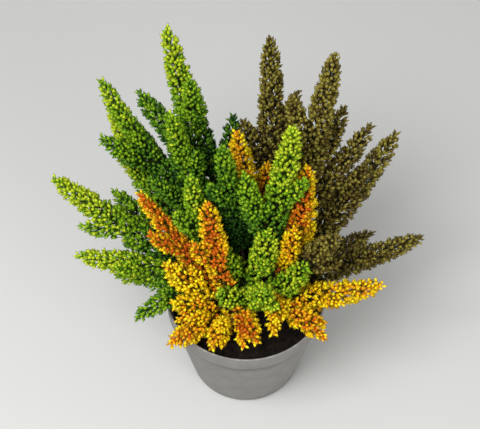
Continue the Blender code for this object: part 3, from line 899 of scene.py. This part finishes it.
class Stem:
    """A cutting's short main stem."""

    def __init__(self, cutting):
        self.name = cutting.name
        self.foot = np.array([cutting.x, cutting.y, PEAT_TOP + GAP])
        axis = heading(math.degrees(math.atan2(cutting.y, cutting.x)), STEM_OUTWARD_LEAN)
        self.top = self.foot + axis * STEM_HEIGHT / axis[2]

    def point(self, share):
        return self.foot + (self.top - self.foot) * share

    def radius(self, share):
        return STEM_RADIUS + (STEM_TIP_RADIUS - STEM_RADIUS) * share

    def clearance(self, points):
        """How far points lie outside the stem's surface, or above its top."""
        share = np.clip((points[:, 2] - self.foot[2]) / (self.top[2] - self.foot[2]), 0.0, 1.0)
        off = np.linalg.norm((points - self.point(share[:, None]))[:, :2], axis=1) - self.radius(share)
        above = points[:, 2] - self.top[2]
        return np.where(above > 0, np.hypot(np.maximum(off, 0.0), above), off)


def start_clear(points, stem, radius):
    """The first index where a limb's end disc stands one gap off the stem."""
    slopes = tangents(points)
    for k in range(len(points) - 4):
        ring = np.array([points[k] + radius * across(slopes[k], turn) for turn in range(0, 360, 30)])
        if stem.clearance(np.vstack([ring, points[k]])).min() >= GAP:
            return k
    raise ValueError(f"a limb on {stem.name} never leaves its stem")


def grow_leaders(stems):
    """The bark-clad foot of every shoot, the boughs and the leader spires."""
    feet, boughs, leaders = [], [], []
    for stem in stems.values():
        own = sorted((s for s in SHOOTS if s.cutting == stem.name), key=lambda s: -s.lean)
        for rank, shoot in enumerate(own):
            share = LOWEST_FORK + (1 - LOWEST_FORK) * (rank + 1) / len(own)
            wood = BOUGH if shoot.length > LONG_SHOOT else FOOT
            path = bowed(stem.point(share), shoot)
            path = resampled(path, 0.0, lengths_along(path)[-1], PATH_STEP)
            start = start_clear(path, stem, wood.radius)
            hidden = lengths_along(path)[start]
            bark = resampled(path, hidden * BARK_START, hidden + wood.bark_length, BARK_STEP)
            radii = np.linspace(wood.radius * BARK_SWELL, wood.tip_radius, len(bark))
            feet.append(Limb(shoot.name, bark, radii))
            path, first = path[start:], 0.0
            if wood is BOUGH:
                bare = resampled(path, 0.0, BARE_LENGTH, SAMPLE_STEP)
                boughs.append(Limb(shoot.name, bare, np.linspace(wood.radius, wood.tip_radius, len(bare))))
                first = BARE_LENGTH + GAP
            leafy = resampled(path, first, lengths_along(path)[-1], SAMPLE_STEP)
            leaders.append(Spire(shoot, leafy, shoot.girth))
    return feet, boughs, leaders


def tree_of(points):
    tree = kdtree.KDTree(len(points))
    for k, point in enumerate(points):
        tree.insert(point, k)
    tree.balance()
    return tree


def nearest(tree, points):
    return np.array([tree.find(point)[2] for point in points])


def pot_clearance(points):
    """How far points lie from the peat and the pot's wall; below zero inside either."""
    away, height = np.hypot(points[:, 0], points[:, 1]), points[:, 2] - POT_HEIGHT
    above = np.maximum(height, 0.0)
    outside = np.hypot(np.maximum(away - RIM_RADIUS, 0.0), above)
    inner = RIM_RADIUS - WALL - 0.001
    inside = np.hypot(np.maximum(inner - away, 0.0), above)
    inside = np.minimum(inside, points[:, 2] - PEAT_TOP)
    return np.where(away > RIM_RADIUS, outside, np.where(away < inner, inside, height))


class Crown:
    """Every limb and spire, for the tests that keep each mass to its own space."""

    def __init__(self):
        self.stems = {cutting.name: Stem(cutting) for cutting in CUTTINGS}
        self.feet, self.boughs, self.leaders = grow_leaders(self.stems)
        self.spires = list(self.leaders)
        shares = np.linspace(0.0, 1.0, 30)
        stems = [Limb(s.name, s.point(shares[:, None]), s.radius(shares)) for s in self.stems.values()]
        self.wood = self.boughs + stems

    def others(self, mass):
        return tree_of(np.vstack([s.points for s in self.spires if s.mass != mass]))

    def wood_clearance(self, points):
        """The least distance from points to the surface of any limb."""
        least = np.full(len(points), 1.0)
        for limb in self.wood:
            apart = np.linalg.norm(points[:, None] - limb.points[None], axis=2) - limb.radii[None]
            least = np.minimum(least, apart.min(axis=1))
        return least


def side_spire(leader, share, turn, rng):
    """A smaller spire that leaves the leader at an angle and turns back towards it."""
    k = leader.at(share * leader.length)
    forward, out = leader.tangents[k], across(leader.tangents[k], turn)
    away, back = math.radians(SIDE_ANGLE), math.radians(SIDE_TURN_BACK)
    length = max(SIDE_LEAST, SIDE_LENGTH_SHARE * (1 - share) * leader.length * rng.uniform(0.75, 1.1))
    t = np.linspace(0.0, 1.0, max(8, round(length / SAMPLE_STEP)))
    angles = away + (back - away) * t
    steps = np.cos(angles)[:, None] * forward + np.sin(angles)[:, None] * out
    points = leader.points[k] + np.cumsum(steps, axis=0) * length / len(t)
    girth = min(leader.plume.max(), SIDE_GIRTH_LEAST + SIDE_GIRTH_BY_LENGTH * length)
    return Spire(leader.shoot, points, SIDE_GIRTH_SHARE * girth, is_side=True)


def is_clear(crown, leader, others, spire):
    """Whether a side spire clears every other mass, its own mass's sides, the limbs and the pot."""
    test, far = spire.points[4::3], spire.points[len(spire.points) // 2 :]
    mates = [s.points for s in crown.spires if s.mass == leader.mass and s is not leader]
    return (
        nearest(others, test).min() > SPIRE_CLEARANCE
        and (not mates or nearest(tree_of(np.vstack(mates)), far).min() > SPIRE_CLEARANCE)
        and crown.wood_clearance(test).min() > SPIRE_CLEARANCE / 2
        and pot_clearance(test).min() > SPIRE_CLEARANCE / 2
    )


@lru_cache(maxsize=1)
def whole_crown():
    """The crown with its side spires, each kept where it is clear."""
    crown = Crown()
    for place, leader in enumerate(crown.leaders):
        rng = random.Random(SIDE_SEED + place)
        others = crown.others(leader.mass)
        count = round(leader.length / SIDE_SPACING)
        turn = rng.uniform(0, 360)
        for k in range(count):
            share = SIDE_FIRST + (SIDE_LAST - SIDE_FIRST) * (k + 0.5) / count
            for _ in range(SIDE_TRIES):
                turn += GOLDEN_TURN
                spire = side_spire(leader, share, turn, rng)
                if is_clear(crown, leader, others, spire):
                    crown.spires.append(spire)
                    break
    return crown


# Twigs and twiglets

Twig = namedtuple("Twig", "points radii from_tip spray")
Strand = namedtuple("Strand", "points radii leaf_size leaf_open")


class Plume:
    """One mass: the reach of its spires, the space of the others and the tips that it already has."""

    def __init__(self, crown, leader, own):
        self.crown, self.shoot, self.own = crown, leader.shoot, own
        self.spires = [s for s in crown.spires if s.mass == leader.mass]
        self.newest = leader.points[-1]
        self.axis = np.vstack([s.points for s in self.spires])
        self.inside, self.others = tree_of(self.axis), crown.others(leader.mass)
        self.reach = np.concatenate([s.plume for s in self.spires])
        self.cells = defaultdict(list)

    def place_of(self, point):
        """How far out a point lies, 0 on an axis and 1 at the plume's surface, and the way outwards."""
        _, index, away = self.inside.find(point)
        return away / self.reach[index], (point - self.axis[index]) / max(away, 1e-6)

    def has_room(self, points):
        """Whether all points lie in this mass's own space, off the wood, the peat and the pot."""
        beyond = nearest(self.others, points) - nearest(self.inside, points)
        return (
            (beyond > 0).all()
            and (self.crown.wood_clearance(points) > TWIG_ROOM).all()
            and (pot_clearance(points) > TWIG_ROOM + SPACE_GAP).all()
        )

    def take_tip(self, point):
        """Notes a tip there, unless another stands too near."""
        spacing = self.own.tip_spacing
        cell = tuple(int(v) for v in np.floor(point / spacing))
        for near in product(*((v - 1, v, v + 1) for v in cell)):
            for other in self.cells[near]:
                if np.dot(point - other, point - other) < spacing**2:
                    return False
        self.cells[cell].append(point)
        return True

    def fitted(self, kind, root, direction, slope, longest):
        """The longest cut of a twig that fits the plume and its mass's own space, or None."""
        for cut in kind.cuts:
            length = longest * cut
            if length < kind.least:
                return None
            points = curled(root, direction, slope, length, kind)
            share, _ = self.place_of(points[-1])
            if share < kind.deepest:
                return None
            if share < kind.furthest and self.has_room(points[2:]):
                return points
        return None

    def tint(self, point, reach, sun, rng):
        """The tint dealt to a spray by its age, with painted shade by its depth in the plume and painted
        light and shade by the way it faces the light.
        """
        kind = "green" if self.shoot.name == "green_rear" else self.shoot.cutting.split("_")[0]
        return DEALERS[kind](self.shoot, np.linalg.norm(point - self.newest), reach, sun, rng)


def curled(root, direction, forward, length, kind):
    """Points of a twig that sets out in one direction and curls a little towards another."""
    t = np.linspace(0.0, 1.0, kind.points)[:, None]
    bend = unit(forward) - direction * np.dot(unit(forward), direction)
    return root + length * (t * direction + kind.curl * t**2 * bend)


def twig_on(plume, spire, k, turn, angle, stretch_by):
    """A twig at the spire's point k, shorter towards the spire's rounded end, or None."""
    direction = math.cos(angle) * spire.tangents[k] + math.sin(angle) * across(spire.tangents[k], turn)
    ahead = spire.at(spire.along[k] + TWIG_LOOK_AHEAD * spire.plume[k] / math.tan(angle))
    left = min(1.0, (spire.length - spire.along[k]) / TWIG_ROUND_END)
    stretch_by *= TWIG_END_SHARE + (1 - TWIG_END_SHARE) * left
    longest = spire.plume[ahead] / math.sin(angle) * stretch_by
    return plume.fitted(TWIG, spire.points[k], direction, spire.tangents[k], longest)


def twigs_of(plume, rng):
    """The twigs of every spire of one mass, from its foot to its tip."""
    twigs, step = [], plume.own.twig_step
    for spire in plume.spires:
        turn = rng.uniform(0, 360)
        distance = step * (FIRST_SIDE_TWIG if spire.is_side else FIRST_TWIG)
        while distance < spire.length - TWIG.least / 2:
            k = spire.at(distance)
            turn += GOLDEN_TURN
            low = max(0.0, 1 - distance / TWIG_FOOT_LENGTH)
            angle = TWIG_ANGLE + TWIG_FOOT_ANGLE * low + TWIG_ANGLE_SPREAD * rng.uniform(-1, 1)
            points = twig_on(plume, spire, k, turn, math.radians(angle), rng.uniform(*TWIG_STRETCH))
            if points is not None and plume.take_tip(points[-1]):
                total = lengths_along(points)[-1]
                points = resampled(points, 0.0, total, total / 3)
                radii = np.linspace(TWIG_THICKNESS, TWIG_THICKNESS * TWIG_TIP_SHARE, len(points))
                twigs.append(Twig(points, radii, spire.length - spire.along[k], len(twigs) + 1))
            distance += step * rng.uniform(*STEP_SPREAD)
    return twigs


def twiglets_of(plume, twig, rng):
    """Short twiglets along one twig, wherever their tips have room in the plume's outer part."""
    along = lengths_along(twig.points)
    slopes = tangents(twig.points)
    total, turn, found = along[-1], rng.uniform(0, 360), []
    distance = max(TWIGLET_FIRST * total, TWIGLET_FIRST_LEAST)
    while distance < total - TWIGLET_LAST:
        root = between(distance, along, twig.points)
        slope = unit(between(distance, along, slopes))
        turn += GOLDEN_TURN
        angle = math.radians(TWIGLET_ANGLE + TWIGLET_ANGLE_SPREAD * rng.uniform(-1, 1))
        direction = math.cos(angle) * slope + math.sin(angle) * across(slope, turn)
        longest = min(TWIGLET_LONGEST, TWIGLET_AT_TIP + TWIGLET_TAPER * (total - distance))
        longest *= rng.uniform(*TWIGLET_STRETCH)
        points = plume.fitted(TWIGLET, root, direction, slope, longest)
        if points is not None and plume.take_tip(points[-1]):
            found.append(twig._replace(points=points))
        distance += plume.own.twiglet_step * rng.uniform(*STEP_SPREAD)
    return found


# Colours dealt out by spray


def aged_tint(tints, weights, age, reach, sun, fresh, rng):
    """The tint in a row from young to old for a spray's age, with painted shade for its depth and painted
    light for the light on it.
    """
    step = weights.age * age + weights.depth * (1 - reach) - weights.sun * sun
    step += weights.fresh * (USUAL_FRESHNESS - fresh) + rng.gauss(0.0, weights.chance)
    return tints[int(min(len(tints) - 1, max(0, round(step))))]


def green_tint(shoot, age, reach, sun, rng):
    """Light near the shoot's tip, deep towards its foot; painted light makes it lighter outside and on the
    side facing the light, painted shade deeper inside.
    """
    return aged_tint(GREENS, GREEN_WEIGHTS, (age / GREENING) ** 1.5, reach, sun, shoot.fresh, rng)


def bronze_tint(shoot, age, reach, sun, rng):
    """Khaki tips over olive brown, with painted shade making it umber inside and painted light making it
    lighter on the side facing the light.
    """
    return aged_tint(BRONZES, BRONZE_WEIGHTS, age / shoot.length, reach, sun, shoot.fresh, rng)


def gold_tint(shoot, age, reach, sun, rng):
    """Gold with straw edges, orange and rust along the sunny side, olive at the foot and ochre as painted
    shade on the side away from the light.
    """
    share = 1 - age / shoot.length
    if share < OLIVE_SHARE and rng.random() < OLIVE_CHANCE:
        return "olive"
    heat = shoot.warm * min(1.0, max(0.0, sun - 0.15) / 0.55) * (0.85 + 0.25 * share)
    heat += rng.gauss(0.0, 0.05)
    if heat > RUST_HEAT:
        return "rust" if rng.random() < RUST_CHANCE else "orange"
    if heat > ORANGE_HEAT:
        return "orange"
    # Painted shade: ochre on the side turned away from the light.
    if sun < SHADED_SIDE:
        return "ochre"
    return "straw" if rng.random() < 0.5 * shoot.fresh + 0.3 * (share - 0.5) else "gold"


DEALERS = {"green": green_tint, "gold": gold_tint, "bronze": bronze_tint}


def bead(points, radius, growth):
    """The outer end of a twig: round, with leaves that close up at the tip."""
    t = np.linspace(0.0, 1.0, len(points))
    girth = 0.66 + 1.50 * t - 1.70 * t**2
    return Strand(points, growth * radius * girth, growth * (1.0 - 0.36 * t**2), girth)


def inner_strand(points, radius, growth, leaf_size=0.0):
    """The slimmer stretch of a twig behind its bead, which bears leaves only where they have a size."""
    t = np.linspace(0.0, 1.0, len(points))
    girth = 0.56 + 0.20 * t
    return Strand(points, growth * radius * girth, np.full(len(t), leaf_size), girth)


def leafy_parts(points, growth):
    """The bead's stretch of a twig, and the one behind it where there is room for one."""
    total, length = lengths_along(points)[-1], BEAD_LENGTH * growth
    end = resampled(points, max(0.0, total - length), total, length / 3)
    start, stop = max(INNER_START, total - LEAFY_LENGTH), total - length
    return end, resampled(points, start, stop, stop - start) if stop - start >= INNER_LEAST else None


def bead_growth(from_tip, rng):
    """How large a bead is: smaller towards a spire's tip, and never quite even."""
    return (0.80 + 0.20 * min(1.0, from_tip / TIP_BEADS)) * rng.uniform(0.88, 1.12)


class Foliage:
    """The leafy strands of each tint, with the masses that they belong to."""

    def __init__(self):
        self.strands, self.masses = defaultdict(list), defaultdict(set)

    def add(self, plume, tint, *strands):
        self.strands[tint] += strands
        self.masses[tint].add(plume.shoot.name)

    def clothe_twig(self, plume, twig, rng):
        """Gives a twig its bead, and the stretch behind it a deeper tint, painted shade between the beads.
        """
        reach, outward = plume.place_of(twig.points[-1])
        tint = plume.tint(twig.points[-1], reach, np.dot(outward, SUNWARD), rng)
        growth = bead_growth(twig.from_tip, rng)
        end, inner = leafy_parts(twig.points, growth)
        self.add(plume, tint, bead(end, plume.own.bead, growth))
        if inner is not None:
            self.add(plume, DEEPER.get(tint, tint), inner_strand(inner, plume.own.bead, growth))

    def clothe_spire(self, plume, spire, rng):
        """Gives a spire its bead, and leaves in a deeper tint along its axis, painted shade inside the
        plume.
        """
        radius = plume.own.bead
        tint = plume.tint(spire.points[-1], 1.0, 0.5, rng)
        growth = bead_growth(0.0, rng)
        end, inner = leafy_parts(spire.points, growth)
        self.add(plume, tint, bead(end, radius, growth), inner_strand(inner, radius, growth))
        for start in np.arange(CLOTHED_START, spire.length - CLOTHED_STEP, CLOTHED_STEP):
            points = resampled(spire.points, start, start + CLOTHED_STEP, CLOTHED_STEP / 4)
            tint = plume.tint(points[1], 0.7, 0.0, rng)
            strand = inner_strand(points, radius, 1.0, CLOTHED_LEAF_SIZE)
            self.add(plume, DEEPER.get(tint, tint), strand)


@lru_cache(maxsize=1)
def grown_twigs():
    """All twigs, and the foliage that clothes them, their twiglets and the spires."""
    own = bpy.context.scene.heather.leaves
    crown, foliage, twigs = whole_crown(), Foliage(), []
    for place, leader in enumerate(crown.leaders):
        rng = random.Random(own.seed + place)
        plume = Plume(crown, leader, own)
        first = twigs_of(plume, rng)
        twiglets = [twiglet for twig in first for twiglet in twiglets_of(plume, twig, rng)]
        moods = {twig.spray: random.Random(own.seed * 7 + twig.spray + place * 991) for twig in first}
        for twig in first + twiglets:
            foliage.clothe_twig(plume, twig, moods[twig.spray])
        for spire in plume.spires:
            foliage.clothe_spire(plume, spire, rng)
        twigs += first
    return twigs, foliage


# Pieces


def pot_section(own):
    """The pot's section from the axis inside to the axis below, with every edge rounded."""
    step, rim, lip = own.height - COLLAR_HEIGHT, own.rim_radius, own.lip_round
    inner_step = rim - COLLAR_STEP - WALL
    outer_step = inner_step + WALL
    inner_foot = BASE_RADIUS - WALL
    foot_wall = inner_foot + (inner_step - inner_foot) * FLOOR_THICKNESS / step
    corners = [
        (0.0, FLOOR_THICKNESS, 0.0),
        (foot_wall, FLOOR_THICKNESS, 0.0020),
        (inner_step - 0.0001, step - 0.0012, 0.0006),
        (rim - WALL - 0.0006, step, 0.0008),
        (rim - WALL, own.height, lip),
        (rim, own.height, lip),
        (rim - 0.0006, step - WALL, 0.0005),
        (outer_step - 0.0001, step - WALL, 0.0004),
        (outer_step - 0.0006, step - WALL - 0.0060, 0.0030),
        (BASE_RADIUS + 0.0004, HEEL_ROUND, 0.0012),
        (BASE_RADIUS - HEEL_ROUND / 2, 0.0, 0.0008),
        (0.0, 0.0, 0.0),
    ]
    return rounded(corners)


def drill_mesh():
    """Cutters for the drain holes, in one mesh."""
    low, high = -0.004, 0.006
    section = [(0.0, low), (DRAIN_HOLE_RADIUS, low), (DRAIN_HOLE_RADIUS, high), (0.0, high)]
    points, faces = revolved(section, DRAIN_HOLE_SIDES)
    places = [np.array([math.cos(a), math.sin(a), 0.0]) for a in circle(DRAIN_HOLES, 0.5)]
    holes = [(np.array(points) + DRAIN_RING_RADIUS * place, faces) for place in places]
    return closed_mesh("drain_drill", *joined(holes), smooth=False)


def make_pot(own):
    mesh = closed_mesh("pot_shell", *revolved(pot_section(own), POT_SEGMENTS))
    pot = add_object("pot_shell", mesh, plastic_finish(own))
    drill = add_object("drain_drill", drill_mesh())
    cut = pot.modifiers.new("drain holes", "BOOLEAN")
    cut.operation = "DIFFERENCE"
    cut.solver = "EXACT"
    cut.object = drill
    applied(pot)
    bpy.data.objects.remove(drill)
    pot.data.set_sharp_from_angle(angle=math.radians(40))
    claim(pot, "pot_plastic", "pot")


def peat_section():
    """Closely spaced rings over the peat's top, then its side and its flat underside."""
    inner_step = RIM_RADIUS - COLLAR_STEP - WALL
    inner_foot = BASE_RADIUS - WALL
    widening, step = inner_step - inner_foot, POT_HEIGHT - COLLAR_HEIGHT
    low, edge = FLOOR_THICKNESS + GAP, PEAT_TOP - PEAT_EDGE_DROP
    foot_radius, edge_radius = (inner_foot + widening * z / step - 2 * GAP for z in (low, edge))
    rings = np.linspace(0.0, 1.0, PEAT_RINGS)
    tops = np.interp(rings, [0.0, 0.55, 0.80, 1.0], [PEAT_TOP, PEAT_TOP, PEAT_TOP - PEAT_CROWN, edge])
    return [(r * edge_radius, z) for r, z in zip(rings, tops)] + [(foot_radius, low), (0.0, low)]


def lumpy(point, height):
    """How far the peat stands above or below its level there."""
    broad = noise.fractal(Vector(point) * 55, 1.0, 2.1, 3)
    fine = noise.fractal(Vector(point) * 260, 0.8, 2.0, 3)
    return height * (0.62 * broad + 0.42 * fine)


def make_peat(own):
    points, faces = revolved(peat_section(), PEAT_SEGMENTS)
    edge = max(math.hypot(x, y) for x, y, z in points if z > LUMPS_ABOVE)
    lifted = []
    for x, y, z in points:
        calm = min(1.0, 6 * (1 - math.hypot(x, y) / edge)) if z > LUMPS_ABOVE else 0.0
        lifted.append((x, y, z + calm * lumpy((x, y, 0), own.roughness)))
    peat = add_object("peat_bed", closed_mesh("peat_bed", lifted, faces), peat_finish("peat", own, 1.0))
    claim(peat, "peat", "peat")
    claim(make_crumbs(own, peat), "peat")


def crumb_mesh():
    """One lumpy crumb."""
    ball = bmesh.new()
    bmesh.ops.create_icosphere(ball, subdivisions=1, radius=1.0)
    for vertex in ball.verts:
        vertex.co *= 0.8 + 0.4 * abs(noise.noise(vertex.co * 1.7))
    mesh = bpy.data.meshes.new("crumb")
    ball.to_mesh(mesh)
    ball.free()
    return mesh


def make_crumbs(own, bed):
    """Loose crumbs over the top of the bed."""
    patch = bmesh.new()
    patch.from_mesh(bed.data)
    low = [f for f in patch.faces if f.calc_center_median().z < CRUMBS_ABOVE]
    bmesh.ops.delete(patch, geom=low, context="FACES")
    mesh = bpy.data.meshes.new("peat_crumbs")
    patch.to_mesh(mesh)
    patch.free()
    crumb = add_object("crumb", crumb_mesh())
    crumbs = add_object("peat_crumbs", mesh)
    values = {"Density": own.crumbs, "Crumb Radius": own.crumb_size, "Crumb": crumb, "Seed": own.seed}
    values["Material"] = peat_finish("peat_crumbs", own, 1.35)
    grown_mesh(crumbs, "Peat Crumbs", crumb_tree, values)
    bpy.data.objects.remove(crumb)
    return crumbs


def bark_tube(limb, sides, relief):
    """Points and faces of a limb with furrowed bark, closed at both ends."""
    slopes = tangents(limb.points)
    side = across(slopes[0], 0)
    points = []
    for point, slope, radius in zip(limb.points, slopes, limb.radii):
        side = unit(side - slope * np.dot(side, slope))
        other = np.cross(slope, side)
        for turn in circle(sides):
            out = math.cos(turn) * side + math.sin(turn) * other
            spot = Vector(out * 2.6) + Vector(slope) * (np.dot(point, slope) * 260)
            furrow = noise.fractal(spot, 0.9, 2.0, 3)
            points.append(point + out * (radius + relief * min(1.0, radius / 0.002) * furrow))
    low_end, high_end = tuple(range(sides))[::-1], tuple(range(len(points) - sides, len(points)))
    return points, [low_end, *ring_faces(len(limb.points), sides), high_end]


def stem_limb(stem):
    """The stem's axis from just under the peat to its tip, flared at the foot."""
    rise = (stem.top - stem.foot) / (stem.top - stem.foot)[2]
    heights = np.linspace(-STEM_SUNK, STEM_HEIGHT, 56)
    straight = stem.radius(np.clip(heights / STEM_HEIGHT, 0, 1))
    flare = np.clip(1 - heights / FLARE_HEIGHT, 0, 1) ** 2
    radii = straight + (FLARE_RADIUS - STEM_RADIUS) * flare
    radii[-3:] *= np.array([0.93, 0.80, 0.45])
    return Limb(stem.name, stem.foot + heights[:, None] * rise, radii)


def make_wood(own):
    """One mesh of all the stems and boughs with the relief of their bark."""
    crown = whole_crown()
    shapes = [bark_tube(stem_limb(stem), STEM_SIDES, own.relief) for stem in crown.stems.values()]
    shapes += [bark_tube(foot, FOOT_SIDES, own.relief) for foot in crown.feet]
    mesh = closed_mesh("stems_and_boughs", *joined(shapes))
    nodes = ["stem_" + name for name in crown.stems] + [b.name + "_bough" for b in crown.boughs]
    claim(add_object("stems_and_boughs", mesh, bark_finish(own)), "bark", *nodes)


def spire_axis(spire):
    """A spire's own thin woody axis."""
    points = resampled(spire.points, 0.0, spire.length, 0.003)
    thickest = SIDE_AXIS_THICKNESS if spire.is_side else AXIS_THICKNESS
    return Limb(spire.mass, points, np.linspace(thickest, AXIS_TIP_THICKNESS, len(points)))


def make_twigs(colours):
    """The spires' axes and the twigs that stand on them."""
    crown = whole_crown()
    twigs, _ = grown_twigs()
    finish = leaf_finish("twig", colours.twig)
    groups = (("spire_axes", [spire_axis(s) for s in crown.spires], 5), ("twigs", twigs, 3))
    for name, strands, sides in groups:
        piece = add_object(name, strand_mesh(name, strands, "radii"))
        grown_mesh(piece, "Twigs", twig_tree, {"Sides": sides, "Material": finish})
        claim(piece, "bark", *(leader.mass for leader in crown.leaders))


def leaf_whorl(own):
    """Scale leaves in a ring round +Z, each a keeled kite of four faces with its tip off the bead."""
    leaves = []
    seat = own.bead * LEAF_SEAT
    for turn in circle(LEAVES_A_WHORL):
        out = Vector((math.cos(turn), math.sin(turn), 0))
        side = Vector((-math.sin(turn), math.cos(turn), 0)) * own.width / 2
        wide = out * (seat + own.lift * LEAF_KEEL) + Vector((0, 0, own.length * LEAF_WIDEST))
        tip = out * (seat + own.lift) + Vector((0, 0, own.length))
        leaves.append(([out * seat, wide + side, wide - side, tip], LEAF_FACES))
    return closed_mesh("leaf_whorl", *joined(leaves))


def lots_of(strands, pitch):
    """The strands in lots that each stay within a piece's size."""
    lots, room = [], 0
    for strand in strands:
        whorls = int(lengths_along(strand.points)[-1] / pitch) + 1 if strand.leaf_size[0] else 0
        needed = whorls * TRIANGLES_A_WHORL + TRIANGLES_A_BEAD
        if needed > room:
            lots.append([])
            room = MOST_TRIANGLES_A_PIECE
        lots[-1].append(strand)
        room -= needed
    return lots


def make_leaves(own, colours):
    """The scale leaves of each tint, set along its strands."""
    _, foliage = grown_twigs()
    whorl = add_object("leaf_whorl", leaf_whorl(own))
    for slot, tints in TINTS_OF.items():
        for tint in tints:
            finish = leaf_finish("leaves_" + tint, getattr(colours, tint))
            for k, lot in enumerate(lots_of(foliage.strands[tint], own.pitch)):
                name = f"leaves_{tint}_{k + 1}"
                piece = add_object(name, strand_mesh(name, lot, "radii", "leaf_size", "leaf_open"))
                values = {"Pitch": own.pitch, "Leaf Whorl": whorl, "Material": finish, "Seed": own.seed + k}
                grown_mesh(piece, "Scale Leaves", leaf_tree, values)
                claim(piece, slot, *sorted(foliage.masses[tint]))
    bpy.data.objects.remove(whorl)


# The stage


def set_up(name, data, place, aim):
    """Places a light or the camera and turns it to its aim."""
    thing = add_object(name, data)
    thing.location = place
    thing.rotation_euler = (Vector(aim) - Vector(place)).to_track_quat("-Z", "Y").to_euler()
    return thing


def soft_light(name, lamp, power):
    light = bpy.data.lights.new(name, "AREA")
    light.shape = "DISK"
    light.size = lamp.width
    light.energy = power
    set_up(name, light, lamp.place, lamp.aim).visible_camera = False


def make_floor(own):
    bm = bmesh.new()
    bmesh.ops.create_grid(bm, x_segments=8, y_segments=8, size=4.0)
    mesh = bpy.data.meshes.new("floor")
    bm.to_mesh(mesh)
    bm.free()
    add_object("floor", mesh, floor_finish(own))


def make_stage(own):
    make_floor(own)
    world = bpy.data.worlds.new("studio")
    world.use_nodes = True
    sky = world.node_tree.nodes["Background"]
    sky.inputs["Color"].default_value = SKY_COLOUR
    sky.inputs["Strength"].default_value = own.sky
    bpy.context.scene.world = world
    soft_light("key", KEY_LAMP, own.key)
    soft_light("fill", FILL_LAMP, own.fill)
    camera = bpy.data.cameras.new("camera")
    camera.sensor_width = SENSOR_WIDTH
    camera.lens = CAMERA_LENS
    bpy.context.scene.camera = set_up("camera", camera, CAMERA_PLACE, CAMERA_AIM)
    bpy.context.scene.view_settings.view_transform = "Standard"


# Operators and the panel


class HEATHER_OT_pot(Operator):
    """Makes the nursery pot"""

    bl_idname = "heather.pot"
    bl_label = "Nursery Pot"

    def execute(self, context):
        make_pot(context.scene.heather.pot)
        return {"FINISHED"}


class HEATHER_OT_peat(Operator):
    """Makes the peat and its crumbs"""

    bl_idname = "heather.peat"
    bl_label = "Peat"

    def execute(self, context):
        make_peat(context.scene.heather.peat)
        return {"FINISHED"}


class HEATHER_OT_wood(Operator):
    """Makes the stems and boughs with their bark"""

    bl_idname = "heather.wood"
    bl_label = "Stems and Boughs"

    def execute(self, context):
        make_wood(context.scene.heather.wood)
        return {"FINISHED"}


class HEATHER_OT_twigs(Operator):
    """Makes the twigs inside the plumes"""

    bl_idname = "heather.twigs"
    bl_label = "Twigs"

    def execute(self, context):
        make_twigs(context.scene.heather.colours)
        return {"FINISHED"}


class HEATHER_OT_leaves(Operator):
    """Makes the scale leaves and deals out their colours"""

    bl_idname = "heather.leaves"
    bl_label = "Scale Leaves"

    def execute(self, context):
        settings = context.scene.heather
        make_leaves(settings.leaves, settings.colours)
        return {"FINISHED"}


class HEATHER_OT_stage(Operator):
    """Makes the floor, the light and the camera"""

    bl_idname = "heather.stage"
    bl_label = "Stage"

    def execute(self, context):
        make_stage(context.scene.heather.stage)
        return {"FINISHED"}


class HEATHER_PT_panel(Panel):
    """Lists the makers of the potted heather"""

    bl_label = "Potted Heather"
    bl_idname = "HEATHER_PT_panel"
    bl_space_type = "VIEW_3D"
    bl_region_type = "UI"
    bl_category = "Heather"

    def draw(self, context):
        for maker in MAKERS:
            self.layout.operator(maker.bl_idname)


MAKERS = (
    HEATHER_OT_pot,
    HEATHER_OT_peat,
    HEATHER_OT_wood,
    HEATHER_OT_twigs,
    HEATHER_OT_leaves,
    HEATHER_OT_stage,
)
SETTINGS = (
    PotSettings,
    PeatSettings,
    WoodSettings,
    LeafSettings,
    LeafColours,
    StageSettings,
    HeatherSettings,
)


def register():
    for group in (*SETTINGS, *MAKERS, HEATHER_PT_panel):
        bpy.utils.register_class(group)
    bpy.types.Scene.heather = PointerProperty(type=HeatherSettings)


def unregister():
    del bpy.types.Scene.heather
    for group in reversed((*SETTINGS, *MAKERS, HEATHER_PT_panel)):
        bpy.utils.unregister_class(group)


def main():
    register()
    bpy.ops.heather.pot()
    bpy.ops.heather.peat()
    bpy.ops.heather.wood()
    bpy.ops.heather.twigs()
    bpy.ops.heather.leaves()
    bpy.ops.heather.stage()


if __name__ == "__main__":
    main()
